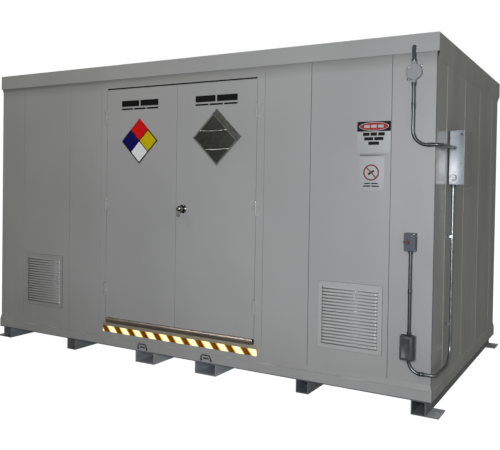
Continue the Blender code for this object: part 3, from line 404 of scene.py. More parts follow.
def make_reflective_tape(name):
    """Slanted stripes: the pale ones glow with painted light, emission standing for the light that
    they send back, strongest along their middle.
    """
    signs = bpy.context.scene.storage_signs
    made, tree, shader, where = started(name)
    spot = axes(tree, where)
    run = calc(tree, "ADD", spot["X"], calc(tree, "MULTIPLY", spot["Z"], STRIPE_SLANT))
    shifted = calc(tree, "ADD", run, 20.0 * signs.stripe_pitch + STRIPE_SHIFT)
    place = calc(tree, "FRACT", calc(tree, "DIVIDE", shifted, signs.stripe_pitch), 0.0)
    colour = ramp(tree, place, [
        (0.00, (0.16, 0.055, 0.004)), (0.35, (0.10, 0.032, 0.003)), (0.41, (0.42, 0.22, 0.02)),
        (0.47, (0.72, 0.58, 0.20)), (0.56, (0.80, 0.76, 0.50)), (0.86, (0.80, 0.76, 0.50)),
        (0.93, (0.70, 0.52, 0.16)), (1.00, (0.30, 0.13, 0.01)),
    ])
    # Painted light: the emission colour of the stripes, brightest along their middle.
    glow = ramp(tree, place, [
        (0.00, (0.09, 0.028, 0.0)), (0.35, (0.05, 0.014, 0.0)), (0.41, (0.55, 0.27, 0.01)),
        (0.48, (0.95, 0.70, 0.16)), (0.58, (1.0, 0.93, 0.56)), (0.84, (1.0, 0.93, 0.56)),
        (0.92, (0.95, 0.66, 0.14)), (1.00, (0.40, 0.17, 0.0)),
    ])
    cells = node(tree, "ShaderNodeTexVoronoi", {
        "Vector": where, "Scale": 240.0, "Randomness": 0.15,
    }, feature="DISTANCE_TO_EDGE").outputs["Distance"]
    shader.inputs["Emission Strength"].default_value = signs.stripe_painted_glow
    rough = ramp(tree, cells, [(0.0, 0.5), (0.2, 0.25)])
    normal = bump(tree, cells, 0.0004, 0.4)
    link(tree, shader, Base_Color=colour, Emission_Color=glow, Roughness=rough, Normal=normal)
    return made


def make_polymer(name, tone=(0.035, 0.04, 0.045), gloss=0.5, spread=0.35):
    made, tree, shader, where = started(name)
    fine = noise(tree, where, 300.0, 3.0)
    broad = noise(tree, where, 22.0, 4.0)
    colour = ramp(tree, broad, [(0.3, scaled(tone, 1 - spread)), (0.7, scaled(tone, 1 + spread))])
    rough = ramp(tree, broad, [(0.3, gloss - 0.08), (0.7, gloss + 0.12)])
    link(tree, shader, Base_Color=colour, Roughness=rough, Normal=bump(tree, fine, 0.0002, 0.5))
    return made


def make_box_sheet(name):
    """Zinc-coated sheet under thin paint, with a painted highlight low down on the middle of its
    side and painted shade away from it.
    """
    made, tree, shader, where = started(name, Metallic=0.25, Coat_Weight=0.4, Coat_Roughness=0.12)
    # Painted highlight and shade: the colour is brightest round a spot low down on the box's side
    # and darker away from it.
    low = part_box("breaker_box")[0]
    spot = node(tree, "ShaderNodeVectorMath", {
        0: where, 1: (low.x + 0.040, low.y, low.z + 0.090)}, operation="SUBTRACT").outputs[0]
    spread = stretched(tree, spot, (9.0, 1.5, 4.0))
    painted_highlight_falloff = node(tree, "ShaderNodeTexGradient", {"Vector": spread},
                gradient_type="SPHERICAL").outputs["Fac"]
    colour = ramp(tree, painted_highlight_falloff, [(0.0, (0.13, 0.15, 0.162)), (0.55, (0.23, 0.255, 0.27)),
                               (0.90, (0.42, 0.44, 0.455))])
    dull = noise(tree, where, 14.0, 5.0, 0.6)
    gloss = ramp(tree, dull, [(0.30, 0.28), (0.75, 0.42)])
    normal = bump(tree, noise(tree, where, 210.0, 2.0), 0.0006, 0.5)
    link(tree, shader, Base_Color=colour, Roughness=gloss, Normal=normal)
    return made


def make_glass(name):
    made, tree, shader, where = started(
        name, Base_Color=(0.92, 0.96, 0.96, 1.0), IOR=1.5, Transmission_Weight=0.85)
    ribs = noise(tree, where, 60.0, 2.0)
    rough = ramp(tree, ribs, [(0.3, 0.05), (0.7, 0.16)])
    link(tree, shader, Roughness=rough, Normal=bump(tree, ribs, 0.0005, 0.5))
    return made


# Each finish by name: its maker and what sets it apart
MAKERS = {
    "wall_enamel": (make_wall_enamel, {}),
    # Lighter and darker copies of the wall enamel: painted light on the right louvre, painted shade
    # on the left louvre and in the recesses under the hoods
    "vent_enamel": (make_wall_enamel, {"tint": 1.12}),
    # A darker copy of the wall enamel on the sloped skirt flashing: painted shade, so that its
    # upward face doesn't look lit
    "flashing_enamel": (make_wall_enamel, {"tint": 0.91}),
    "vent_shade": (make_wall_enamel, {"tint": 0.92}),
    "vent_recess": (make_wall_enamel, {"tint": 0.60}),
    "lid_enamel": (make_wall_enamel, {"tint": 0.92}),
    "skid_enamel": (make_skid_enamel, {"tint": 1.2}),
    "pocket_enamel": (make_skid_enamel, {"tint": 2.4}),
    "plate_enamel": (make_skid_enamel, {"tint": 2.9}),
    "staple_enamel": (make_skid_enamel, {"tint": 0.30}),
    "galvanised_steel": (make_galvanised, {}),
    "conduit_zinc": (make_galvanised, {"tone": (0.155, 0.175, 0.175), "cell": 160.0}),
    "bright_zinc": (make_galvanised, {"tone": (0.62, 0.65, 0.66), "cell": 160.0}),
    # A lighter copy of the conduit zinc for the run and straps on the side wall: painted light
    "side_zinc": (make_galvanised, {"tone": (0.27, 0.295, 0.30), "cell": 30.0}),
    "fitting_zinc": (make_galvanised, {"tone": (0.13, 0.15, 0.155), "cell": 160.0}),
    "dull_chrome": (make_chrome, {}),
    "dark_chrome": (make_chrome, {"tone": (0.30, 0.29, 0.27)}),
    "drawn_aluminium": (make_brushed, {"tone": (0.86, 0.76, 0.70), "low": 0.24, "high": 0.44}),
    "holder_plate": (make_casting, {"tone": (0.034, 0.036, 0.028)}),
    "holder_rim": (make_casting, {"tone": (0.15, 0.15, 0.138)}),
    "dark_casting": (make_casting, {}),
    "outlet_casting": (make_casting, {"tone": (0.060, 0.066, 0.072)}),
    "red_enamel": (make_casting, {"tone": (0.10, 0.020, 0.034)}),
    "strip_plate": (make_casting, {"tone": (0.082, 0.082, 0.073)}),
    "box_sheet": (make_box_sheet, {}),
    "frame_caulk": (make_vinyl, {"tone": (0.29, 0.29, 0.285), "gloss": 0.6, "coat": 0.0}),
    "red_vinyl": (make_vinyl, {"tone": (0.68, 0.004, 0.006)}),
    "navy_vinyl": (make_vinyl, {"tone": (0.004, 0.003, 0.10)}),
    "yellow_vinyl": (make_vinyl, {"tone": (0.62, 0.49, 0.0)}),
    "pale_vinyl": (make_vinyl, {"tone": (0.84, 0.85, 0.84), "spread": 0.03}),
    "black_vinyl": (make_vinyl, {
        "tone": (0.006, 0.006, 0.007), "gloss": 0.55, "coat": 0.0, "specular": 0.2}),
    "grey_vinyl": (make_vinyl, {"tone": (0.20, 0.21, 0.22)}),
    "ring_vinyl": (make_vinyl, {"tone": (0.20, 0.012, 0.022), "coat": 0.0, "gloss": 0.5}),
    "oval_vinyl": (make_vinyl, {"tone": (0.33, 0.012, 0.016), "coat": 0.0, "gloss": 0.5}),
    "notice_vinyl": (make_vinyl, {
        "tone": (0.44, 0.455, 0.45), "spread": 0.02, "coat": 0.0, "gloss": 0.55}),
    # Paler than the wall: sealant, and partly a painted highlight along the skirt's top edge
    "sealant": (make_vinyl, {"tone": (0.50, 0.50, 0.48), "gloss": 0.40}),
    # Paler than the wall enamel: painted highlight on the seams of the side and rear walls
    "seam_bead": (make_vinyl, {"tone": (0.56, 0.545, 0.50), "gloss": 0.40}),
    # Dark bluish paint: painted shadow on the strip round the skirt's foot, and the colour of the
    # corner trim
    "drip_paint": (make_vinyl, {"tone": (0.085, 0.09, 0.125), "gloss": 0.45}),
    "seam_filler": (make_vinyl, {"tone": (0.11, 0.12, 0.125), "gloss": 0.45}),
    # Beige: painted light from the reflective tape's glow on the sill's face
    "sill_paint": (make_vinyl, {"tone": (0.34, 0.30, 0.225), "gloss": 0.45}),
    "reflective_tape": (make_reflective_tape, {}),
    "black_polymer": (make_polymer, {}),
    "ivory_plastic": (make_polymer, {"tone": (0.50, 0.47, 0.38), "gloss": 0.35}),
    "junction_enamel": (make_polymer, {
        "tone": (0.30, 0.312, 0.318), "gloss": 0.60, "spread": 0.05}),
    "lamp_glass": (make_glass, {}),
}


def material(name):
    """The named finish, made on first use."""
    found = bpy.data.materials.get(name)
    if found is None:
        maker, choices = MAKERS[name]
        found = maker(name, **choices)
    return found


# Shapes

def piece(name, shape, look, body="building", stands_for=(), crease=32.0,
          closed=True):
    """A finished object from a bmesh, with its place in its mesh. look is one finish or several."""
    bmesh.ops.remove_doubles(shape, verts=shape.verts, dist=1e-6)
    if closed:
        bmesh.ops.recalc_face_normals(shape, faces=shape.faces)
    mesh = bpy.data.meshes.new(name)
    shape.to_mesh(mesh)
    shape.free()
    mesh.shade_smooth()
    mesh.set_sharp_from_angle(angle=math.radians(crease))
    for finish_name in [look] if isinstance(look, str) else look:
        mesh.materials.append(material(finish_name))
    obj = bpy.data.objects.new(name, mesh)
    bpy.context.scene.collection.objects.link(obj)
    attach(obj, body)
    if stands_for:
        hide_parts(*stands_for)
    return obj


def rounded(obj, width, segments):
    """Rolls an object's sharp edges over."""
    roll = obj.modifiers.new("edge_roll", "BEVEL")
    roll.width = width
    roll.segments = segments
    roll.limit_method = "ANGLE"
    roll.angle_limit = math.radians(40)
    roll.use_clamp_overlap = True
    roll.harden_normals = True


def refined(name, look, width=0.0, segments=2, second=None):
    """A copy of a CAD node with its triangles merged into faces and its edges rolled over.

    second picks the faces, by their centre and normal, that take the second finish.
    """
    source = frame["nodes"][name]
    shape = bmesh.new()
    shape.from_mesh(source.data)
    for face in shape.faces:
        face.material_index = 0
    bmesh.ops.remove_doubles(shape, verts=shape.verts, dist=1e-5)
    bmesh.ops.dissolve_limit(
        shape, angle_limit=math.radians(0.6), verts=shape.verts, edges=shape.edges)
    for face in shape.faces:
        if second and second(face.calc_center_median(), face.normal):
            face.material_index = 1
    obj = piece(f"{name}_finished", shape, look, source["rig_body"], [name])
    if width:
        rounded(obj, width, segments)


def add_box(shape, low, high, look=0):
    centre = (Vector(low) + Vector(high)) / 2
    size = Vector(high) - Vector(low)
    matrix = Matrix.Translation(centre) @ Matrix.Diagonal((*size, 1.0))
    verts = bmesh.ops.create_cube(shape, size=1.0, matrix=matrix)["verts"]
    tint(verts, look)
    return verts


def tint(verts, look):
    for face in {face for vert in verts for face in vert.link_faces}:
        face.material_index = look


def add_rolled_box(shape, low, high, radius, look=0, segments=2):
    """A box with every edge rolled over."""
    verts = add_box(shape, low, high, look)
    roll_edges(shape, {edge for vert in verts for edge in vert.link_edges}, radius, segments)


def roll_edges(shape, edges, radius, segments):
    bmesh.ops.bevel(
        shape, geom=list(edges), offset=radius, affect="EDGES", segments=segments, profile=0.5,
        material=-1)


def add_strips(shape, centre, front, back, spans):
    """Flat strips about a centre. spans holds each one's low and high X and low and high Z."""
    for x0, x1, z0, z1 in spans:
        add_box(shape, (centre.x + x0, front, centre.z + z0), (centre.x + x1, back, centre.z + z1))


def aimed(centre, direction):
    """A matrix that puts Z along a direction at a point."""
    turn = Vector((0.0, 0.0, 1.0)).rotation_difference(Vector(direction))
    return Matrix.Translation(centre) @ turn.to_matrix().to_4x4()


def add_turned(shape, profile, centre, direction, segments=32, look=0):
    """A lathe shape: pairs of radius and distance along the direction from the centre."""
    line = [shape.verts.new((radius, 0.0, along)) for radius, along in profile]
    edges = [shape.edges.new(pair) for pair in zip(line, line[1:])]
    before = set(shape.verts) - set(line)
    bmesh.ops.spin(
        shape, geom=line + edges, cent=(0.0, 0.0, 0.0), axis=(0.0, 0.0, 1.0),
        angle=math.radians(360), steps=segments, use_merge=True)
    verts = [vert for vert in shape.verts if vert not in before]
    bmesh.ops.remove_doubles(shape, verts=verts, dist=1e-6)
    verts = [vert for vert in shape.verts if vert not in before]
    bmesh.ops.transform(shape, matrix=aimed(centre, direction), verts=verts)
    tint(verts, look)


def add_screw(shape, centre, direction, radius, look=0):
    """A pan head, with a driver slot in the finish after its own."""
    high = radius * 0.55
    profile = [(0.0, -0.001), (radius, -0.001), (radius, high * 0.35), (radius * 0.82, high * 0.8),
               (radius * 0.45, high), (0.0, high)]
    add_turned(shape, profile, centre, direction, 14, look)
    matrix = aimed(centre, direction) @ Matrix.Rotation(math.radians(35), 4, "Z")
    matrix = matrix @ Matrix.Translation((0.0, 0.0, high)) @ Matrix.Diagonal(
        (radius * 1.5, radius * 0.28, radius * 0.06, 1.0))
    verts = bmesh.ops.create_cube(shape, size=1.0, matrix=matrix)["verts"]
    tint(verts, look + 1)


def bent_route(corners, radii, steps=10):
    """Points along straight runs joined by round bends, one radius for each inner corner."""
    points = [Vector(corners[0])]
    for before, corner, after, radius in zip(corners, corners[1:], corners[2:], radii):
        back = (Vector(before) - Vector(corner)).normalized()
        ahead = (Vector(after) - Vector(corner)).normalized()
        half = back.angle(ahead) / 2
        centre = Vector(corner) + (back + ahead).normalized() * (radius / math.sin(half))
        first = (Vector(corner) + back * (radius / math.tan(half)) - centre).normalized()
        last = (Vector(corner) + ahead * (radius / math.tan(half)) - centre).normalized()
        for step in range(steps + 1):
            points.append(centre + first.slerp(last, step / steps) * radius)
    points.append(Vector(corners[-1]))
    return points


def add_tube(shape, points, radius, segments):
    """A round bar or pipe along points, with closed ends. radius is one number or one a point."""
    radii = radius if isinstance(radius, list) else [radius] * len(points)
    heading = (points[1] - points[0]).normalized()
    side = heading.orthogonal().normalized()
    rings = []
    for i, point in enumerate(points):
        ahead = points[min(i + 1, len(points) - 1)] - points[max(i - 1, 0)]
        turn = heading.rotation_difference(ahead.normalized())
        heading = ahead.normalized()
        side = turn @ side
        matrix = Matrix.Translation(point) @ Matrix((
            side, heading.cross(side), heading)).transposed().to_4x4()
        ring = bmesh.ops.create_circle(
            shape, cap_ends=i in (0, len(points) - 1), segments=segments, radius=radii[i],
            matrix=matrix)["verts"]
        rings.append(ring)
    for first, second in zip(rings, rings[1:]):
        edges = [edge for ring in (first, second) for vert in ring for edge in vert.link_edges
                 if edge.other_vert(vert) in ring]
        bmesh.ops.bridge_loops(shape, edges=list(set(edges)))


def diamond_matrix(centre):
    """Local X runs to the upper right and local Z to the upper left of a sign on its corner."""
    return Matrix.Translation(centre) @ Matrix.Rotation(math.radians(-45), 4, "Y")


# Pieces

class STORAGE_OT_shell(bpy.types.Operator):
    """Paints the walls, roof, base and sump"""
    bl_idname = "storage.shell"
    bl_label = "Shell"
    bl_options = {"REGISTER", "UNDO"}

    def execute(self, context):
        for name in ("left_wall", "right_wall", "rear_wall", "front_wall_left", "front_wall_right"):
            low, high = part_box(name)
            # The grooves take a second finish: a dark one on the front's right sheet, painted shade
            # in the grooves, and a pale one on the side and rear walls, painted highlight; the
            # front's left sheet keeps the wall enamel.
            filler = {"front_wall_right": "seam_filler",
                      "front_wall_left": "wall_enamel"}.get(name, "seam_bead")
            refined(name, ("wall_enamel", filler), second=lambda centre, normal: (
                in_seam(centre, normal, low, high)))
        for name in ("front_wall_sill", "sump_plate"):
            paint(name, "wall_enamel")
        refined("roof_cap", "wall_enamel", 0.0020, 3)
        refined("base_frame", "wall_enamel", 0.0012, 2)
        return {"FINISHED"}


def in_seam(centre, normal, low, high):
    """Whether a face lies in one of the shallow grooves where two wall sheets meet."""
    depths = (centre.x - low.x, high.x - centre.x, centre.y - low.y, high.y - centre.y)
    return 0.0005 < min(depths) < SEAM_DEPTH + 0.0005 and abs(normal.z) < 0.5


def paint(name, look):
    """Gives a CAD node its finish."""
    for slot in frame["nodes"][name].material_slots:
        slot.material = material(look)


class STORAGE_OT_sealant(bpy.types.Operator):
    """Lays the sealant, flashings, the dark strip of painted shadow round the skirt's foot, corner
    trim and seam strips on the shell
    """
    bl_idname = "storage.sealant"
    bl_label = "Sealant and trim"
    bl_options = {"REGISTER", "UNDO"}

    def execute(self, context):
        self.strokes()
        self.flashings()
        self.dark_edges()
        self.seam_strips()
        self.frame_caulk()
        return {"FINISHED"}

    def strokes(self):
        """Strokes of sealant of uneven length along the top of the skirt, paler than the wall:
        sealant and partly a painted highlight of the skirt's top edge.
        """
        shape = bmesh.new()
        rng = random.Random(7)
        half = RIGHT_FACE
        lap = SKIRT_PROUD - 0.0016
        runs = [
            (at(-half, -lap, SKIRT_LINE), at(half, -lap, SKIRT_LINE)),
            (at(half + lap, 0.0, SKIRT_LINE), at(half + lap, DEPTH, SKIRT_LINE)),
            (at(half, DEPTH + lap, SKIRT_LINE), at(-half, DEPTH + lap, SKIRT_LINE)),
            (at(-half - lap, DEPTH, SKIRT_LINE), at(-half - lap, 0.0, SKIRT_LINE)),
        ]
        radii = [BEAD_RADIUS + BEAD_SWELL * math.sin(math.pi * i / 8) for i in range(9)]
        for start, end in runs:
            ahead = (end - start).normalized()
            place = 0.05
            while place < (end - start).length - 0.30:
                stroke = rng.uniform(0.05, 0.26)
                points = [start + ahead * (place + stroke * i / 8) for i in range(9)]
                add_tube(shape, points, radii, 8)
                place += stroke + rng.uniform(0.10, 0.55)
        piece("skirt_bead_highlight", shape, "sealant")

    def flashings(self):
        """Sloped sheets from the skirt up to the walls, and from the walls out to the fascia."""
        half = RIGHT_FACE
        shape = bmesh.new()
        rings = []
        for offset, height in ((SKIRT_LIP, SKIRT_LINE), (GAP, FLASHING_TOP)):
            rings.append([shape.verts.new(at(x, y, height)) for x, y in (
                (-half - offset, -offset), (half + offset, -offset),
                (half + offset, DEPTH + offset), (-half - offset, DEPTH + offset))])
        for i in range(4):
            shape.faces.new((rings[0][i], rings[0][(i + 1) % 4],
                             rings[1][(i + 1) % 4], rings[1][i]))
        # The skirt flashing takes the darker copy of the enamel: painted shade.
        piece("skirt_flashing", shape, "flashing_enamel", closed=False)

        lip = FRONT_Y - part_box("roof_cap")[0].y - GAP
        shape = bmesh.new()
        bottom = FASCIA_BOTTOM + GAP
        corners = [(half, 0.0), (half, DEPTH), (-half, DEPTH), (-half, 0.0)]
        outer = [(half + lip, 0.0), (half + lip, DEPTH + lip), (-half - lip, DEPTH + lip),
                 (-half - lip, 0.0)]
        upper = [shape.verts.new(at(x, y, bottom)) for x, y in outer]
        lower = [shape.verts.new(at(x + math.copysign(GAP, x), y, bottom - CLOSER_HEIGHT))
                 for x, y in corners]
        for i in range(3):
            shape.faces.new((lower[i], lower[i + 1], upper[i + 1], upper[i]))
        piece("fascia_flashing", shape, "wall_enamel", closed=False)

    def dark_edges(self):
        """A dark strip round the foot of the skirt, painted shadow under its edge, and the line up
        both corners.
        """
        shape = bmesh.new()
        front = -SKIRT_PROUD - 0.0006
        side = RIGHT_FACE + SKIRT_PROUD + 0.0006
        low, high = FOOT + GAP, FOOT + EDGE_SHADOW_HEIGHT
        add_box(shape, at(-side, front, low), at(side, front + EDGE_SHADOW_THICK, high))
        for way in (-1, 1):
            x0, x1 = sorted((way * side, way * (side - EDGE_SHADOW_THICK)))
            add_box(shape, at(x0, front, low), at(x1, DEPTH + SKIRT_PROUD, high))
        piece("skirt_edge_shadow", shape, "drip_paint")

        shape = bmesh.new()
        for way in (-1, 1):
            lip, wall = way * (RIGHT_FACE + SKIRT_LIP), way * RIGHT_FACE
            points = [at(lip, -SKIRT_LIP, FOOT + 0.008), at(lip, -SKIRT_LIP, SKIRT_LINE),
                      at(wall, 0.0, FLASHING_TOP), at(wall, 0.0, FASCIA_BOTTOM - 0.002)]
            add_tube(shape, points, 0.0024, 8)
        piece("corner_trim", shape, "drip_paint")

    def seam_strips(self):
        """A strip over each groove of the side and rear walls, found from the walls' vertices,
        paler than the wall: a painted highlight along each seam.
        """
        shape = bmesh.new()
        for name, axis, way in (("right_wall", 0, 1), ("left_wall", 0, -1), ("rear_wall", 1, 1)):
            low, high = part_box(name)
            face = (high if way > 0 else low)[axis]
            floor = face - way * SEAM_DEPTH
            along = 1 - axis
            verts = frame["nodes"][name].data.vertices
            edges = sorted({round(vert.co[along], 4) for vert in verts
                            if abs(vert.co[axis] - floor) < 0.0005})
            for start, end in zip(edges[::2], edges[1::2]):
                first, last = low.copy(), high.copy()
                first[along], last[along] = start - SEAM_LIP, end + SEAM_LIP
                first[axis], last[axis] = sorted((face + way * 0.0002, face + way * 0.0012))
                first.z, last.z = FLASHING_TOP + 0.004, FASCIA_BOTTOM - CLOSER_HEIGHT - 0.006
                add_box(shape, first, last)
        piece("wall_seam_strips", shape, "seam_bead")

    def frame_caulk(self):
        """A bead down each side of the door frame."""
        shape = bmesh.new()
        for side in (-1, 1):
            edge = side * (FRAME_EDGE + 0.001)
            points = [at(edge, -0.0012, SILL_HIGH.z + 0.004),
                      at(edge, -0.0012, FASCIA_BOTTOM - 0.002)]
            add_tube(shape, points, 0.0022, 8)
        piece("door_frame_sealant", shape, "frame_caulk")


class STORAGE_OT_skids(bpy.types.Operator):
    """Finishes the skids and fork pockets, with the welds of their hold-down plates"""
    bl_idname = "storage.skids"
    bl_label = "Skids"
    bl_options = {"REGISTER", "UNDO"}

    def execute(self, context):
        for name in ("skid_left", "skid_inner_left", "skid_inner_right", "skid_right"):
            refined(name, ("skid_enamel", "plate_enamel"), 0.0016, 2, second=on_hold_down)
        for name in ("fork_pocket_left", "fork_pocket_right"):
            refined(name, "pocket_enamel", 0.0016, 2)
        shape = bmesh.new()
        rng = random.Random(3)
        for side, name in ((-1, "skid_left"), (1, "skid_right")):
            face = side * PLATE_START
            for start in (0.0, DEPTH - 0.190):
                points = [at(face + side * 0.0015, start + 0.006 + 0.006 * i, 0.0115)
                          for i in range(30)]
                radii = [0.0032 + 0.0012 * rng.random() for _ in points]
                add_tube(shape, points, radii, 8)
        piece("hold_down_welds", shape, "skid_enamel")
        return {"FINISHED"}


def on_hold_down(centre, normal):
    """Whether a face belongs to a plate welded to an outer skid."""
    return centre.z < 0.011 and abs(centre.x - MIDDLE_X) > PLATE_START + 0.001


class STORAGE_OT_pocket_staples(bpy.types.Operator):
    """Makes the bent staple with its tag above each fork pocket"""
    bl_idname = "storage.pocket_staples"
    bl_label = "Pocket staples"
    bl_options = {"REGISTER", "UNDO"}

    def execute(self, context):
        for side, name in ((-1, "left"), (1, "right")):
            middle = side * POCKET_X
            low = FOOT + 0.024
            high = FOOT + 0.066
            front = -SKIRT_PROUD
            corners = [
                at(middle + x, front - out, z) for x, out, z in (
                    (-0.046, 0.006, low), (-0.043, 0.008, high - 0.012), (-0.032, 0.008, high),
                    (0.032, 0.008, high), (0.043, 0.008, high - 0.012), (0.046, 0.006, low))
            ]
            shape = bmesh.new()
            add_tube(shape, bent_route(corners, [0.02, 0.010, 0.010, 0.02], 6), 0.0048, 14)
            for foot in (middle - 0.046, middle + 0.046):
                add_rolled_box(shape, at(foot - 0.008, front - 0.0040, low - 0.008),
                               at(foot + 0.008, front - 0.0003, low + 0.010), 0.0012)
            piece(f"pocket_staple_{name}", shape, "staple_enamel")
            shape = bmesh.new()
            add_rolled_box(shape, at(middle - 0.026, front - 0.0026, low + 0.008),
                           at(middle + 0.026, front - 0.0003, low + 0.020), 0.0006)
            piece(f"pocket_tag_{name}", shape, "staple_enamel")
        return {"FINISHED"}


class STORAGE_OT_doors(bpy.types.Operator):
    """Finishes the leaves, frame and threshold, and fits the weather strip"""
    bl_idname = "storage.doors"
    bl_label = "Doors"
    bl_options = {"REGISTER", "UNDO"}

    def execute(self, context):
        radius = finish().edge_radius
        refined("door_leaf_left", "wall_enamel", radius)
        refined("door_leaf_right", "wall_enamel", radius)
        refined("door_frame", "wall_enamel", radius)
        refined("threshold", "drawn_aluminium", 0.0008)
        front = LEAF_BACK + 0.0003
        back = 0.0462
        inner = 0.7500
        high = LEAF_TOP + 0.003 - 0.016
        for side, name in ((-1, "left"), (1, "right")):
            shape = bmesh.new()
            low_x, high_x = sorted((side * inner, side * (inner + 0.012)))
            add_rolled_box(shape, at(low_x, front, SILL_HIGH.z + 0.002),
                           at(high_x, back, high), 0.0009)
            piece(f"weather_strip_{name}", shape, "black_polymer")
        shape = bmesh.new()
        add_rolled_box(shape, at(-inner, front, high + 0.0006),
                       at(inner, back, high + 0.0126), 0.0009)
        piece("weather_strip_head", shape, "black_polymer")
        # A black strip across the top of each leaf's face: painted shadow of the gap at the head of
        # the door.
        for name, low_x, high_x in (("left", -0.7600, -0.0015), ("right", 0.0015, 0.7600)):
            shape = bmesh.new()
            add_rolled_box(shape, at(low_x, LEAF_FRONT - 0.0026, LEAF_TOP - 0.0070),
                           at(high_x, LEAF_FRONT - 0.0010, LEAF_TOP + 0.0040), 0.0004)
            piece(f"head_shadow_strip_{name}", shape, "black_vinyl", f"{name}_door")
        shape = bmesh.new()
        for share in (-0.9, -0.45, 0.0, 0.45, 0.9):
            centre = at(share * 0.745, 0.030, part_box("threshold")[1].z - 0.0012)
            add_screw(shape, centre, (0, 0, 1), 0.0050)
        piece("threshold_screws", shape, ("bright_zinc", "black_polymer"))
        return {"FINISHED"}


class STORAGE_OT_hardware(bpy.types.Operator):
    """Finishes the hinge pins, latch, flush bolts and lock plug"""
    bl_idname = "storage.hardware"
    bl_label = "Door hardware"
    bl_options = {"REGISTER", "UNDO"}

    def execute(self, context):
        for side in ("left", "right"):
            for where in ("lower", "middle", "upper"):
                refined(f"hinge_pin_{side}_{where}", "dull_chrome", 0.0003, 1)
        for name, width in (("latch_bolt", 0.0008), ("flush_bolt_top", 0.0008),
                            ("flush_bolt_bottom", 0.0008), ("lock_plug", 0.0003),
                            ("door_key", 0.0003)):
            refined(name, "dull_chrome", width)
        return {"FINISHED"}


class STORAGE_OT_lockset(bpy.types.Operator):
    """Turns both knobs and their roses, and hangs the ring and tag on the key"""
    bl_idname = "storage.lockset"
    bl_label = "Lockset"
    bl_options = {"REGISTER", "UNDO"}

    def execute(self, context):
        middle = (LEAF_FRONT + LEAF_BACK) / 2
        for name, way in (("outer", -1), ("inner", 1)):
            low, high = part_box(f"knob_{name}")
            reach = high.y - low.y
            start = (LEAF_BACK - LEAF_FRONT) / 2 - 0.004
            face = 0.0068 if way < 0 else 0.0
            profile = [
                (0.0, 0.0), (0.006, 0.0), (0.006, start - 0.002), (0.011, start),
                (0.011, start + 0.024), (0.0122, start + 0.0275), (0.0150, start + 0.0300),
                (0.0190, start + 0.0322), (0.0226, start + 0.0352), (0.0252, start + 0.0392),
                (0.0266, start + 0.0436), (0.0270, start + 0.0480), (0.0262, start + 0.0522),
                (0.0246, start + 0.0548), (0.0222, reach - 0.0012), (0.0196, reach - 0.0002),
                (0.0180, reach - 0.0010), (0.0172, reach - 0.0024), (0.0160, reach - 0.0010),
                (0.0135, reach - 0.0004), (face, reach - 0.0002),
            ]
            if way < 0:
                profile += [(face, reach - 0.020), (0.0, reach - 0.020)]
            shape = bmesh.new()
            add_turned(shape, profile, at(LOCK_X, middle + way * 0.0005, LOCK_Z), (0, way, 0), 56)
            piece(f"knob_{name}_turned", shape, "dark_chrome", "knobs",
                  [f"knob_{name}"], 40.0)

            profile = [
                (0.0118, 0.0), (0.0370, 0.0), (0.0370, 0.0016), (0.0364, 0.0028),
                (0.0350, 0.0036), (0.0338, 0.0034), (0.0328, 0.0042), (0.0302, 0.0062),
                (0.0262, 0.0076), (0.0210, 0.0080), (0.0172, 0.0078), (0.0150, 0.0074),
                (0.0136, 0.0080), (0.0118, 0.0080), (0.0118, 0.0),
            ]
            face_y = LEAF_FRONT - GAP if way < 0 else LEAF_BACK + GAP
            shape = bmesh.new()
            add_turned(shape, profile, at(LOCK_X, face_y, LOCK_Z), (0, way, 0), 56)
            piece(f"knob_rose_{name}_turned", shape, "dark_chrome", "right_door",
                  [f"knob_rose_{name}"], 40.0)

        key_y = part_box("door_key")[0].y - FRONT_Y
        eye = at(LOCK_X, key_y + 0.010, LOCK_Z - 0.0060)
        ring_radius = 0.0125
        centre = eye - Vector((0.0, 0.0, ring_radius))
        points = []
        for step in range(49):
            turn = math.radians(360 * step / 48)
            points.append(centre + Vector((
                ring_radius * 0.55 * math.sin(turn), ring_radius * 0.22 * math.sin(turn),
                ring_radius * math.cos(turn))))
        shape = bmesh.new()
        add_tube(shape, points, 0.0008, 8)
        piece("key_ring", shape, "dull_chrome", "key")
        shape = bmesh.new()
        top = centre.z - ring_radius
        add_rolled_box(shape, (eye.x - 0.0080, eye.y - 0.0008, top - 0.0300),
                       (eye.x + 0.0080, eye.y + 0.0008, top + 0.0006), 0.0006)
        piece("key_tag", shape, "holder_rim", "key")
        return {"FINISHED"}


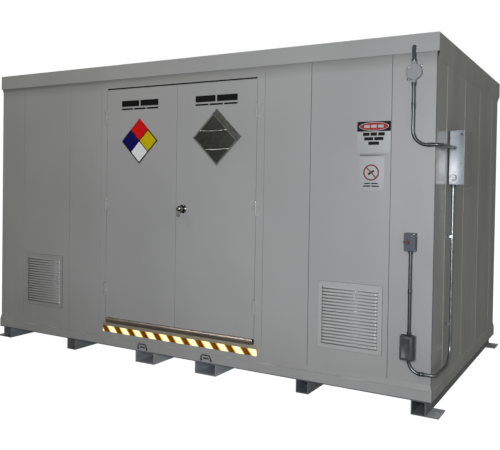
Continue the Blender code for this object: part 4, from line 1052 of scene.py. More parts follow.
class STORAGE_OT_louvres(bpy.types.Operator):
    """Presses the hoods of both louvres in their plates, and seals and screws them on"""
    bl_idname = "storage.louvres"
    bl_label = "Louvres"
    bl_options = {"REGISTER", "UNDO"}

    def execute(self, context):
        vents = bpy.context.scene.storage_vents
        # The right louvre takes the lighter copy of the enamel, painted light, and the left one the
        # darker copy, painted shade.
        for seed, name, look in ((11, "louvre_left", "vent_shade"),
                                 (23, "louvre_right", "vent_enamel")):
            low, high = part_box(name)
            centre = (low + high) / 2
            half = (high.x - low.x) / 2
            plane = high.y - 0.0028
            depth = plane - low.y - 0.0014
            rng = random.Random(seed)
            shape = bmesh.new()
            field_top = centre.z + vents.pitch * (vents.blades - 1) / 2 + 0.010
            for blade in range(vents.blades):
                top = field_top - vents.pitch * blade
                press_hood(shape, centre.x, plane, top, depth, vents, rng)
            obj = piece(f"{name}_hoods", shape, (look, "vent_recess"), crease=50.0,
                        closed=False)
            wall = obj.modifiers.new("sheet", "SOLIDIFY")
            wall.thickness = VENT_SHEET
            wall.offset = 1.0
            wall.use_even_offset = False

            shape = bmesh.new()
            side = vents.field / 2
            above = field_top - centre.z
            below = above - vents.pitch * vents.blades
            add_strips(shape, centre, plane - VENT_SHEET, plane, (
                (-half, -side, -half, half), (side, half, -half, half),
                (-side, side, above, half), (-side, side, -half, below)))
            piece(f"{name}_plate", shape, look, stands_for=[name])

            # A dark gasket rim round the plate, which also paints the shadow gap at the plate's
            # edge.
            shape = bmesh.new()
            rim, inner = half + 0.0014, half - 0.006
            add_strips(shape, centre, high.y - 0.0026, high.y, (
                (-rim, -inner, -rim, rim), (inner, rim, -rim, rim),
                (-inner, inner, inner, rim), (-inner, inner, -rim, -inner)))
            piece(f"{name}_gasket", shape, "black_polymer")

            shape = bmesh.new()
            inset = half - 0.015
            for x in (-inset, 0.0, inset):
                for z in (-inset, inset):
                    add_screw(shape, (centre.x + x, plane - VENT_SHEET, centre.z + z),
                              (0, -1, 0), 0.0042)
            piece(f"{name}_screws", shape, (look, "black_polymer"))
        return {"FINISHED"}


def press_hood(shape, middle, plane, top, depth, vents, rng):
    """One hood, open along its lower lip, and the flat land under it, darker in the second finish:
    painted shade under the hood.
    """
    half = vents.field / 2
    made = bmesh.ops.create_grid(shape, x_segments=26, y_segments=7, size=0.5)["verts"]
    lean = rng.uniform(-0.0008, 0.0008)
    phase = rng.uniform(0.0, 6.28)
    for vert in made:
        across = vert.co.x * 2
        down = 0.5 - vert.co.y
        end = min(1.0, (1.0 - abs(across)) / 0.11)
        end = math.sin(end * math.pi / 2)
        swell = math.sin(min(1.0, down * 1.04) * math.pi / 2) ** 0.85
        ripple = 1.0 + 0.10 * math.sin(across * 7.0 + phase)
        ripple += 0.05 * math.sin(across * 17.0 + phase)
        out = depth * swell * end * min(1.0, ripple * 0.92)
        sag = lean * math.sin(across * 5.0 + phase) * down * end
        vert.co = Vector((middle + across * half, plane - out, top - down * vents.hood + sag))
    faces = list({face for vert in made for face in vert.link_faces})
    for face in faces:
        face.normal_update()
    if sum(face.normal.y * face.calc_area() for face in faces) > 0.0:
        bmesh.ops.reverse_faces(shape, faces=faces)
    land_top = top - vents.hood
    land_bottom = top - vents.pitch
    corners = [(-half, land_bottom), (half, land_bottom), (half, land_top), (-half, land_top)]
    land = shape.faces.new([shape.verts.new((middle + x, plane, z)) for x, z in corners])
    land.material_index = 1


class STORAGE_OT_hazard_diamond(bpy.types.Operator):
    """Makes the four-colour sign, its fields parted by thin dark lines"""
    bl_idname = "storage.hazard_diamond"
    bl_label = "Four-colour sign"
    bl_options = {"REGISTER", "UNDO"}

    def execute(self, context):
        low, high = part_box("hazard_diamond")
        centre = (low + high) / 2
        side = (high.x - low.x) / math.sqrt(2)
        thick = high.y - low.y
        shape = bmesh.new()
        add_box(shape, (-side / 2, -thick / 2 + 0.0003, -side / 2), (side / 2, thick / 2, side / 2))
        line, border, hem = 0.0080, 0.0105, 0.0008
        for look, (across, up) in enumerate(((1, 1), (-1, 1), (1, -1), (-1, -1)), 1):
            edge = border if up < 0 else hem
            x0, x1 = sorted((across * line / 2, across * (side / 2 - edge)))
            z0, z1 = sorted((up * line / 2, up * (side / 2 - edge)))
            add_box(shape, (x0, -thick / 2, z0), (x1, 0.0, z1), look)
        bmesh.ops.transform(shape, matrix=diamond_matrix(centre), verts=shape.verts)
        looks = ("black_vinyl", "red_vinyl", "navy_vinyl", "yellow_vinyl", "pale_vinyl")
        piece("hazard_diamond_sign", shape, looks, "left_door", ["hazard_diamond"])
        return {"FINISHED"}


class STORAGE_OT_placard_holder(bpy.types.Operator):
    """Folds the empty placard holder, with its clamp strip, wires and rivets"""
    bl_idname = "storage.placard_holder"
    bl_label = "Placard holder"
    bl_options = {"REGISTER", "UNDO"}

    def execute(self, context):
        low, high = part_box("placard_holder")
        centre = (low + high) / 2
        side = (high.x - low.x) / math.sqrt(2) / 2
        back = (high.y - low.y) / 2
        shape = bmesh.new()
        add_rolled_box(shape, (-side + 0.001, back - 0.0014, -side + 0.001),
                       (side - 0.001, back, side - 0.001), 0.0004)
        rim = 0.012
        for x0, x1, z0, z1 in ((-side, -side + rim, -side, side), (-side, side, -side, -side + rim),
                               (-side, side, side - rim, side)):
            add_rolled_box(shape, (x0, -back, z0), (x1, -back + 0.0013, z1), 0.0005, 1)
            add_box(shape, (x0 if x1 - x0 > 0.1 or x0 < 0 else x1 - 0.0012, -back + 0.0006, z0),
                    (x1 if x1 - x0 > 0.1 else x0 + 0.0012, back - 0.0006,
                     z1 if z1 - z0 > 0.1 or z0 > 0 else z0 + 0.0012), 1)
        strip = 0.052
        add_rolled_box(shape, (side - strip, -back - 0.0006, -side), (side, -back + 0.0012, side),
                       0.0006, 2, 3)
        add_rolled_box(shape, (side - strip - 0.004, -back - 0.0016, -side + 0.004),
                       (side - strip + 0.003, -back + 0.0016, side - 0.004), 0.0010, 1, 3)
        bmesh.ops.transform(shape, matrix=diamond_matrix(centre), verts=shape.verts)
        piece("placard_holder_folded", shape, ("holder_plate", "holder_rim", "strip_plate"),
              "right_door", ["placard_holder"])

        shape = bmesh.new()
        front = low.y - 0.0014
        reach = (high.x - low.x) / 2
        for z, x0, x1, bow in ((0.055, -reach + 0.072, reach - 0.090, -0.006),
                               (-0.098, -reach + 0.112, reach - 0.108, -0.004)):
            points = []
            for step in range(17):
                share = step / 16
                points.append(Vector((
                    centre.x + x0 + (x1 - x0) * share, front,
                    centre.z + z + bow * math.sin(math.pi * share) + 0.006 * share)))
            add_tube(shape, points, 0.0017, 10)
        piece("placard_wires", shape, "bright_zinc", "right_door")

        shape = bmesh.new()
        matrix = diamond_matrix(centre)
        inner = side - 0.008
        for x, z, radius in ((-inner, -inner, 0.0058), (-inner, inner, 0.0040),
                             (side - strip / 2, 0.0, 0.0055), (side - strip / 2, inner, 0.0036),
                             (side - strip / 2, -inner, 0.0036)):
            add_screw(shape, matrix @ Vector((x, -back - 0.0008, z)), (0, -1, 0), radius)
        piece("placard_screws", shape, ("bright_zinc", "black_polymer"), "right_door")
        return {"FINISHED"}


class STORAGE_OT_reflective_tape(bpy.types.Operator):
    """Lays the striped reflective tape under the threshold, with a beige strip above it: painted
    light from the tape's glow on the sill
    """
    bl_idname = "storage.reflective_tape"
    bl_label = "Reflective tape"
    bl_options = {"REGISTER", "UNDO"}

    def execute(self, context):
        low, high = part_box("hazard_tape")
        shape = bmesh.new()
        add_rolled_box(shape, low, high, 0.0005)
        piece("hazard_tape_striped", shape, "reflective_tape",
              stands_for=["hazard_tape"])
        # A beige strip between the tape and the threshold: painted light from the tape's glow on
        # the sill's face.
        shape = bmesh.new()
        add_rolled_box(shape, (low.x - 0.002, high.y - 0.0009, high.z + 0.0006),
                       (high.x + 0.002, high.y, SILL_HIGH.z - 0.0006), 0.0003)
        piece("sill_glow_strip", shape, "sill_paint")
        return {"FINISHED"}


class STORAGE_OT_labels(bpy.types.Operator):
    """Puts plain blocks where the doors carry lettering, and two wordless notices on the wall"""
    bl_idname = "storage.labels"
    bl_label = "Labels and notices"
    bl_options = {"REGISTER", "UNDO"}

    def execute(self, context):
        face = LEAF_FRONT - 0.0001
        for name, middle, body in (("left", -0.398, "left_door"), ("right", 0.385, "right_door")):
            shape = bmesh.new()
            block_row(shape, middle, face, FOOT + 2.118, 0.052, 0.400, 2, 0.014)
            block_row(shape, middle, face, FOOT + 2.090, 0.014, 0.400, 3, 0.012)
            piece(f"door_label_{name}", shape, "black_vinyl", body)

        face = -0.0001
        left, right = RIGHT_FACE - 0.553, RIGHT_FACE - 0.309
        low, high = FOOT + 1.690, FOOT + 1.910
        middle = (left + right) / 2
        shape = bmesh.new()
        add_rolled_box(shape, at(left, face - 0.0008, low), at(right, face, high), 0.0002)
        add_box(shape, at(left, face - 0.0012, high - 0.070), at(right, face - 0.0006, high), 1)
        oval = at(middle, face - 0.0012, high - 0.035)
        add_oval(shape, oval, 0.108, 0.0300, 0.0004, 2)
        add_oval(shape, oval - Vector((0.0, 0.0003, 0.0)), 0.103, 0.0262, 0.0004, 3)
        block_row(shape, middle, face - 0.0018, high - 0.045, 0.020, 0.140, 3, 0.010, 2)
        for row, (width, count) in enumerate(((0.158, 3), (0.140, 2), (0.078, 1))):
            block_row(shape, middle, face - 0.0008, high - 0.101 - 0.032 * row, 0.023, width, count,
                      0.008, 1)
        piece("wall_notice", shape, ("notice_vinyl", "black_vinyl", "notice_vinyl", "oval_vinyl"))

        left, right = RIGHT_FACE - 0.530, RIGHT_FACE - 0.351
        low, high = FOOT + 1.425, FOOT + 1.672
        middle = RIGHT_FACE - 0.446
        shape = bmesh.new()
        add_rolled_box(shape, at(left, face - 0.0008, low), at(right, face, high), 0.0002)
        add_rolled_box(shape, at(left, face - 0.0030, high - 0.006), at(right, face, high + 0.007),
                       0.0006, 1)
        centre = at(middle, face - 0.0012, FOOT + 1.551)
        add_ring(shape, centre, 0.0575, 0.0475, 0.0005, 2)
        turned_bar(shape, centre, 0.100, 0.0085, 0.0005, 45, 2)
        turned_bar(shape, centre, 0.052, 0.0125, 0.0004, -32, 3)
        for row, (width, count) in enumerate(((0.098, 2), (0.118, 2))):
            block_row(shape, middle, face - 0.0008, FOOT + 1.470 - 0.019 * row, 0.0085, width,
                      count, 0.008, 3)
        piece("wall_notice_small", shape,
              ("notice_vinyl", "grey_vinyl", "ring_vinyl", "black_vinyl"))
        return {"FINISHED"}


def block_row(shape, middle, face, low, height, width, count, space, look=0):
    """A row of plain blocks on a face that looks to the front."""
    pitch = (width + space) / count
    for i in range(count):
        start = middle - width / 2 + pitch * i
        add_box(shape, at(start, face - 0.0004, low), at(start + pitch - space, face + 0.0002,
                                                         low + height), look)


def add_oval(shape, centre, across, up, thick, look):
    matrix = Matrix.Translation(centre) @ Matrix.Diagonal((across, 1.0, up, 1.0))
    matrix = matrix @ Matrix.Rotation(math.radians(90), 4, "X")
    verts = bmesh.ops.create_cone(
        shape, cap_ends=True, segments=56, radius1=1.0, radius2=1.0, depth=thick,
        matrix=matrix)["verts"]
    tint(verts, look)


def add_ring(shape, centre, outer, inner, thick, look):
    profile = [(inner, 0.0), (outer, 0.0), (outer, thick), (inner, thick), (inner, 0.0)]
    add_turned(shape, profile, centre, (0, -1, 0), 56, look)


def turned_bar(shape, centre, length, width, thick, degrees, look):
    matrix = Matrix.Translation(centre) @ Matrix.Rotation(math.radians(degrees), 4, "Y")
    matrix = matrix @ Matrix.Diagonal((length, thick * 2, width, 1.0))
    verts = bmesh.ops.create_cube(shape, size=1.0, matrix=matrix)["verts"]
    tint(verts, look)


class STORAGE_OT_junction_box(bpy.types.Operator):
    """Makes the round junction box, with its screwed cover, hubs and lugs"""
    bl_idname = "storage.junction_box"
    bl_label = "Junction box"
    bl_options = {"REGISTER", "UNDO"}

    def execute(self, context):
        centre = at(JUNCTION_X, -GAP, JUNCTION_Z)
        deep = centre.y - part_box("junction_box")[0].y
        shape = bmesh.new()
        profile = [
            (0.0, 0.0), (0.0535, 0.0), (0.0548, 0.0020), (0.0540, 0.0230), (0.0550, 0.0238),
            (0.0552, 0.0278), (0.0540, 0.0284), (0.0544, 0.0300), (0.0544, deep - 0.0050),
            (0.0530, deep - 0.0030), (0.0480, deep - 0.0014), (0.0400, deep - 0.0006),
            (0.0200, deep - 0.0001), (0.0, deep),
        ]
        add_turned(shape, profile, centre, (0, -1, 0), 64)
        for way in (-1, 1):
            start = riser(JUNCTION_Z + way * 0.046)
            hub = [(0.0, 0.0), (0.0165, 0.0), (0.0165, 0.014), (0.0180, 0.0155), (0.0180, 0.0250),
                   (0.0168, 0.0262), (0.0120, 0.0262), (0.0, 0.0262)]
            add_turned(shape, hub, start, (0, 0, way), 28)
        piece("junction_box_cast", shape, "junction_enamel", stands_for=["junction_box"])

        shape = bmesh.new()
        for side in (-1, 1):
            spot = centre + Vector((side * 0.0425, 0.0, side * 0.0425))
            lug = [(0.0, 0.0), (0.0120, 0.0), (0.0130, 0.0012), (0.0130, 0.0050), (0.0118, 0.0062),
                   (0.0, 0.0062)]
            add_turned(shape, lug, spot, (0, -1, 0), 28)
            add_screw(shape, spot + Vector((side * 0.003, -0.0062, side * 0.003)), (0, -1, 0),
                      0.0058, 1)
        for angle in (-45, 135):
            spot = centre + Vector((0.044 * math.cos(math.radians(angle)), -deep + 0.0010,
                                    0.044 * math.sin(math.radians(angle))))
            add_screw(shape, spot, (0, -1, 0), 0.0034, 1)
        piece("junction_box_lugs", shape, ("junction_enamel", "dull_chrome", "black_polymer"))
        return {"FINISHED"}


class STORAGE_OT_roof_conduit(bpy.types.Operator):
    """Makes the ribbed flexible conduit from the fascia to the junction box"""
    bl_idname = "storage.roof_conduit"
    bl_label = "Flexible conduit"
    bl_options = {"REGISTER", "UNDO"}

    def execute(self, context):
        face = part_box("roof_cap")[0].y - FRONT_Y - GAP
        swing = face - 0.0165
        top = JUNCTION_Z + 0.072 + GAP
        points = bent_route([
            riser(top), riser(top + 0.012),
            at(JUNCTION_X, swing, FASCIA_BOTTOM + 0.005),
            at(JUNCTION_X, swing, FASCIA_BOTTOM + 0.040),
            at(JUNCTION_X, face, FASCIA_BOTTOM + 0.040),
        ], [0.010, 0.020, 0.016], 12)
        ribbed = evenly(points, 0.0016)
        radii = [0.0133 if i % 3 == 1 else 0.0118 for i in range(len(ribbed))]
        shape = bmesh.new()
        add_tube(shape, ribbed, radii, 22)
        piece("roof_conduit_ribbed", shape, "black_polymer",
              stands_for=["roof_conduit"], crease=60.0)
        shape = bmesh.new()
        ferrule = [(0.0122, 0.0), (0.0172, 0.0), (0.0176, 0.0010), (0.0176, 0.0080),
                   (0.0160, 0.0095), (0.0160, 0.0180), (0.0148, 0.0195), (0.0122, 0.0195),
                   (0.0122, 0.0)]
        add_turned(shape, ferrule, riser(top - 0.002), (0, 0, 1), 28)
        piece("roof_conduit_connector", shape, "fitting_zinc")
        return {"FINISHED"}


def evenly(points, step):
    """The same path with points at even steps."""
    lengths = [0.0]
    for a, b in zip(points, points[1:]):
        lengths.append(lengths[-1] + (b - a).length)
    count = round(lengths[-1] / step)
    made = []
    leg = 0
    for i in range(count + 1):
        along = lengths[-1] * i / count
        while leg < len(points) - 2 and along > lengths[leg + 1]:
            leg += 1
        share = (along - lengths[leg]) / (lengths[leg + 1] - lengths[leg])
        made.append(points[leg].lerp(points[leg + 1], share))
    return made


class STORAGE_OT_conduits(bpy.types.Operator):
    """Bends the steel conduits, with their couplings, connectors and straps"""
    bl_idname = "storage.conduits"
    bl_label = "Conduits"
    bl_options = {"REGISTER", "UNDO"}

    def execute(self, context):
        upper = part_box("corner_elbow_upper")
        run_z = (upper[0].z + upper[1].z) / 2
        low_z = LOWER_RUN_Z
        hub = JUNCTION_Z - 0.072 - GAP
        corner = RIGHT_FACE - 0.036
        entry = RIGHT_FACE + 0.040
        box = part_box("breaker_box")[0]
        box_y, box_low = box.y - FRONT_Y, box.z
        side_x = RIGHT_FACE + 0.033
        side_y = box_y + 0.030
        outlet_low, outlet_high = OUTLET_Z - 0.075 - GAP, OUTLET_Z + 0.075 + GAP
        switch_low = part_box("switch_box")[0].z - GAP
        runs = [
            ("conduit_upper", [riser(hub), riser(run_z), at(corner, PIPE_Y, run_z)], [0.100]),
            ("conduit_lower", [riser(outlet_low), riser(low_z), at(corner - GAP, PIPE_Y, low_z)],
             [0.080]),
            ("conduit_middle", [riser(switch_low), riser(outlet_high)], []),
            ("corner_elbow_upper", [at(corner + GAP, PIPE_Y, run_z), at(entry, PIPE_Y, run_z),
                                    at(entry, box_y - GAP, run_z)], [0.034]),
            ("conduit_side", [at(side_x, side_y, box_low - GAP), at(side_x, side_y, low_z),
                              at(side_x, PIPE_Y, low_z), at(corner, PIPE_Y, low_z)],
             [0.130, 0.030]),
        ]
        for name, corners, radii in runs:
            # The run on the side wall takes the lighter copy of the zinc: painted light.
            look = "side_zinc" if name == "conduit_side" else "conduit_zinc"
            shape = bmesh.new()
            add_tube(shape, bent_route(corners, radii, 14), PIPE * 0.985, 24)
            piece(f"{name}_bent", shape, look, stands_for=[name],
                  crease=60.0)

        shape = bmesh.new()
        down = (0, 0, -1)
        add_coupling(shape, riser(hub - 0.155), down)
        add_coupling(shape, riser(FOOT + 0.742), down)
        add_coupling(shape, at(corner - 0.030, PIPE_Y, low_z), (1, 0, 0))
        add_connector(shape, riser(hub + 0.001), down)
        add_connector(shape, riser(outlet_low), down)
        add_connector(shape, riser(outlet_high), (0, 0, 1))
        add_connector(shape, riser(switch_low), down)
        piece("conduit_fittings_front", shape, ("fitting_zinc", "black_polymer"))

        shape = bmesh.new()
        add_connector(shape, at(entry, box_y - GAP, run_z), (0, -1, 0))
        add_connector(shape, at(side_x, side_y, box_low - GAP), down)
        add_coupling(shape, at(corner + 0.006, PIPE_Y, run_z), (1, 0, 0))
        piece("conduit_fittings_side", shape, ("fitting_zinc", "black_polymer"))

        shape = bmesh.new()
        for z in (FOOT + 1.100, FOOT + 0.470):
            add_strap(shape, at(side_x, side_y, z), Vector((1, 0, 0)), Vector((0, -1, 0)),
                      side_x - RIGHT_FACE)
        piece("conduit_straps_side", shape, ("side_zinc", "black_polymer"))
        return {"FINISHED"}


def add_coupling(shape, centre, direction):
    """A set-screw coupling centred on a run of conduit."""
    ahead = Vector(direction).normalized()
    profile = [(0.0117, -0.018), (0.0142, -0.018), (0.0150, -0.0168), (0.0150, -0.0135),
               (0.0140, -0.0125), (0.0140, -0.0012), (0.0146, 0.0), (0.0140, 0.0012),
               (0.0140, 0.0125), (0.0150, 0.0135), (0.0150, 0.0168), (0.0142, 0.018),
               (0.0117, 0.018), (0.0117, -0.018)]
    add_turned(shape, profile, centre, ahead, 28)
    out = Vector((0.0, -1.0, 0.0)) if abs(ahead.y) < 0.5 else Vector((1.0, 0.0, 0.0))
    for shift in (-0.0075, 0.0075):
        add_screw(shape, centre + ahead * shift + out * 0.0140, out, 0.0030)


def add_connector(shape, start, direction):
    """A locknut and a compression connector that stand off a box along a direction."""
    nut = [(0.0120, -0.0002), (0.0175, -0.0002), (0.0182, 0.0010), (0.0182, 0.0040),
           (0.0170, 0.0050), (0.0120, 0.0050), (0.0120, -0.0002)]
    add_turned(shape, nut, start, direction, 8)
    body = [(0.0117, 0.0046), (0.0150, 0.0046), (0.0150, 0.0090), (0.0160, 0.0100),
            (0.0160, 0.0190), (0.0148, 0.0205), (0.0117, 0.0205), (0.0117, 0.0046)]
    add_turned(shape, body, start, direction, 24)


def add_strap(shape, centre, out, ear, reach):
    """A pressed strap: over the pipe, then flat on the wall with a screw, on the side ear."""
    up = Vector((0.0, 0.0, 1.0))
    points = []
    for step in range(13):
        turn = math.radians(-100 + 200 * step / 12)
        points.append(centre + (out * math.cos(turn) + ear * math.sin(turn)) * (PIPE + 0.0009))
    foot = centre - out * (reach - 0.0012)
    points.append(foot + ear * 0.0175 + out * 0.0035)
    points.append(foot + ear * 0.0205)
    points.append(foot + ear * 0.0420)
    half = up * 0.0085
    rows = [[shape.verts.new(point + side) for point in points] for side in (half, -half)]
    for i in range(len(points) - 1):
        shape.faces.new((rows[0][i], rows[0][i + 1], rows[1][i + 1], rows[1][i]))
    faces = list({face for row in rows for vert in row for face in vert.link_faces})
    bmesh.ops.recalc_face_normals(shape, faces=faces)
    bmesh.ops.solidify(shape, geom=faces, thickness=0.0016)
    add_screw(shape, foot + ear * 0.0320 + out * 0.0014, out, 0.0046)


class STORAGE_OT_breaker_box(bpy.types.Operator):
    """Finishes the breaker box and its lid, with knockouts, screws, hinge and latch"""
    bl_idname = "storage.breaker_box"
    bl_label = "Breaker box"
    bl_options = {"REGISTER", "UNDO"}

    def execute(self, context):
        refined("breaker_box", "box_sheet", 0.0016, 3)
        refined("breaker_cover", "lid_enamel", 0.0014, 3)
        low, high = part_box("breaker_box")
        lid_low, lid_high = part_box("breaker_cover")
        shape = bmesh.new()
        knockout = (RIGHT_FACE + MIDDLE_X + 0.038, low.y, low.z + 0.050)
        add_knockout(shape, knockout, (0, -1, 0), 0.0250)
        for y in (low.y + 0.080, low.y + 0.160, low.y + 0.230):
            add_knockout(shape, (low.x + 0.045, y, low.z), (0, 0, -1), 0.0165)
        piece("breaker_knockouts", shape, "box_sheet")

        shape = bmesh.new()
        for z, radius in ((high.z - 0.028, 0.0075), (low.z + 0.150, 0.0042)):
            add_screw(shape, (high.x - 0.014, low.y - 0.0002, z), (0, -1, 0), radius)
            add_screw(shape, (high.x - 0.014, high.y + 0.0002, z), (0, 1, 0), radius)
        piece("breaker_side_screws", shape, ("black_polymer", "black_vinyl"))

        shape = bmesh.new()
        middle = (lid_low.y + lid_high.y) / 2
        face = lid_high.x
        for y in (lid_low.y + 0.016, lid_high.y - 0.016):
            for z in (lid_low.z + 0.016, lid_high.z - 0.020):
                add_screw(shape, (face - 0.0026, y, z), (1, 0, 0), 0.0038)
        piece("breaker_lid_screws", shape, ("dull_chrome", "black_polymer"), "breaker_lid")
        shape = bmesh.new()
        add_rolled_box(shape, (lid_low.x + 0.001, middle - 0.017, lid_low.z - 0.013),
                       (face - 0.001, middle + 0.017, lid_low.z + 0.010), 0.0012)
        piece("breaker_lid_hasp", shape, "fitting_zinc", "breaker_lid")
        shape = bmesh.new()
        add_tube(shape, [Vector((lid_low.x, low.y + 0.020, high.z + 0.0014)),
                         Vector((lid_low.x, high.y - 0.020, high.z + 0.0014))], 0.0030, 14)
        piece("breaker_hinge_rod", shape, "dull_chrome")

        shape = bmesh.new()
        bay = high.x - 0.0118
        z = (low.z + high.z) / 2 + 0.03
        add_rolled_box(shape, (bay - 0.004, middle - 0.045, z - 0.055),
                       (bay + 0.0050, middle + 0.045, z + 0.055), 0.0020)
        add_rolled_box(shape, (bay + 0.0040, middle - 0.012, z - 0.008),
                       (bay + 0.0098, middle + 0.012, z + 0.012), 0.0020, 1)
        piece("breaker_handle", shape, ("black_polymer", "red_enamel"))
        return {"FINISHED"}


def add_knockout(shape, centre, direction, radius):
    """Two punched rings and the disc that they leave."""
    profile = [(0.0, 0.0022), (radius * 0.62, 0.0022), (radius * 0.70, 0.0004),
               (radius * 0.78, 0.0016), (radius * 0.92, 0.0018), (radius, 0.0004),
               (radius, -0.0010), (0.0, -0.0010)]
    add_turned(shape, profile, centre, direction, 36)


class STORAGE_OT_switch(bpy.types.Operator):
    """Finishes the switch box and its lever, with a face plate and screws"""
    bl_idname = "storage.switch"
    bl_label = "Switch"
    bl_options = {"REGISTER", "UNDO"}

    def execute(self, context):
        refined("switch_box", "dark_casting", 0.0022, 3)
        refined("switch_lever", "red_enamel", 0.0016, 3)
        low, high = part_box("switch_box")
        shape = bmesh.new()
        add_rolled_box(shape, (low.x + 0.003, low.y + 0.0085, low.z - 0.0012),
                       (high.x - 0.003, low.y + 0.0098, high.z + 0.0012), 0.0004)
        add_rolled_box(shape, (low.x - 0.0012, low.y + 0.0085, low.z + 0.003),
                       (high.x + 0.0012, low.y + 0.0098, high.z - 0.003), 0.0004)
        piece("switch_gasket", shape, "black_polymer")
        shape = bmesh.new()
        lever_low, lever_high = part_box("switch_lever")
        pivot = Vector((lever_high.x - 0.011, low.y, (lever_low.z + lever_high.z) / 2))
        ring = [(0.0122, -0.001), (0.0185, -0.001), (0.0185, 0.0010), (0.0168, 0.0026),
                (0.0138, 0.0030), (0.0122, 0.0024), (0.0122, -0.001)]
        add_turned(shape, ring, pivot, (0, -1, 0), 36)
        for way in (-1, 1):
            add_rolled_box(shape, (low.x + 0.018, low.y - 0.0022, pivot.z + way * 0.0390 - 0.003),
                           (high.x - 0.018, low.y + 0.0010, pivot.z + way * 0.0390 + 0.003), 0.0010)
        piece("switch_boss", shape, "dark_casting")
        shape = bmesh.new()
        for x in (low.x + 0.011, high.x - 0.011):
            for z in (low.z + 0.011, high.z - 0.011):
                add_screw(shape, (x, low.y, z), (0, -1, 0), 0.0036)
        piece("switch_screws", shape, ("dull_chrome", "black_polymer"))
        return {"FINISHED"}


class STORAGE_OT_outlet(bpy.types.Operator):
    """Finishes the outlet box and makes its deep lift cover, hinge and receptacle"""
    bl_idname = "storage.outlet"
    bl_label = "Outlet"
    bl_options = {"REGISTER", "UNDO"}

    def execute(self, context):
        refined("outlet_box", "outlet_casting", 0.0020, 3)
        low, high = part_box("outlet_cover")
        shape = bmesh.new()
        add_box(shape, low, high)
        back = [face for face in shape.faces if face.normal.y > 0.9]
        bmesh.ops.delete(shape, geom=back, context="FACES_ONLY")
        rim = [edge for edge in shape.edges
               if max(vert.co.y for vert in edge.verts) < high.y - 0.02]
        roll_edges(shape, rim, 0.012, 6)
        sides = [edge for edge in shape.edges
                 if abs(edge.verts[0].co.y - edge.verts[1].co.y) > 0.02]
        roll_edges(shape, sides, 0.005, 3)
        front = [face for face in shape.faces if face.normal.y < -0.99 and face.calc_area() > 0.003]
        bmesh.ops.inset_region(shape, faces=front, thickness=0.007, depth=0.0)
        bmesh.ops.inset_region(shape, faces=front, thickness=0.002, depth=-0.0016)
        obj = piece("outlet_cover_deep", shape, "outlet_casting", "outlet_lid",
                    ["outlet_cover"], 50.0)
        wall = obj.modifiers.new("wall", "SOLIDIFY")
        wall.thickness = 0.0028
        wall.offset = -1.0

        centre = (low + high) / 2
        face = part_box("outlet_box")[0].y
        shape = bmesh.new()
        add_tube(shape, [Vector((centre.x - 0.034, high.y + 0.0004, high.z + 0.0022)),
                         Vector((centre.x + 0.034, high.y + 0.0004, high.z + 0.0022))], 0.0026, 14)
        piece("outlet_hinge_rod", shape, "dull_chrome")
        shape = bmesh.new()
        for way in (-1, 1):
            z = centre.z + way * 0.0195
            add_rolled_box(shape, (centre.x - 0.0170, face - 0.0062, z - 0.0140),
                           (centre.x + 0.0170, face + 0.0010, z + 0.0140), 0.0026, 0, 3)
            add_box(shape, (centre.x - 0.0078, face - 0.0064, z - 0.0010),
                    (centre.x - 0.0056, face - 0.0058, z + 0.0080), 1)
            add_box(shape, (centre.x + 0.0056, face - 0.0064, z),
                    (centre.x + 0.0078, face - 0.0058, z + 0.0070), 1)
            add_turned(shape, [(0.0, 0.0), (0.0026, 0.0), (0.0026, 0.0006), (0.0, 0.0006)],
                       (centre.x, face - 0.0059, z - 0.0070), (0, -1, 0), 16, 1)
        piece("outlet_receptacle", shape, ("ivory_plastic", "black_polymer"))
        shape = bmesh.new()
        add_screw(shape, (centre.x, face - 0.0002, centre.z), (0, -1, 0), 0.0030)
        for way in (-1, 1):
            add_screw(shape, (centre.x, face - 0.0002, centre.z + way * 0.0700), (0, -1, 0), 0.0034)
        piece("outlet_screws", shape, ("dull_chrome", "black_polymer"))
        return {"FINISHED"}


class STORAGE_OT_floor(bpy.types.Operator):
    """Lays the bar gratings and finishes the bearers under them"""
    bl_idname = "storage.floor"
    bl_label = "Floor gratings"
    bl_options = {"REGISTER", "UNDO"}

    def execute(self, context):
        for name in ("grating_bearer_front", "grating_bearer_middle", "grating_bearer_rear"):
            refined(name, "galvanised_steel", 0.0015)
        bar, bars, rods = 0.005, 34, 22
        for panel in (1, 2, 3, 4):
            low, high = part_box(f"floor_grating_{panel}")
            shape = bmesh.new()
            pitch = (high.x - low.x - bar) / bars
            for i in range(bars + 1):
                start = low.x + pitch * i
                add_box(shape, (start, low.y, low.z), (start + bar, high.y, high.z - 0.0006))
            pitch = (high.y - low.y - 0.012) / rods
            for i in range(rods + 1):
                start = low.y + pitch * i
                add_box(shape, (low.x + 0.0006, start, high.z - 0.0070),
                        (high.x - 0.0006, start + 0.006, high.z))
            for y in (low.y, high.y - bar):
                add_box(shape, (low.x, y, low.z), (high.x, y + bar, high.z))
            piece(f"floor_grating_{panel}_bars", shape, "galvanised_steel", f"grating_{panel}",
                  [f"floor_grating_{panel}"])
        return {"FINISHED"}


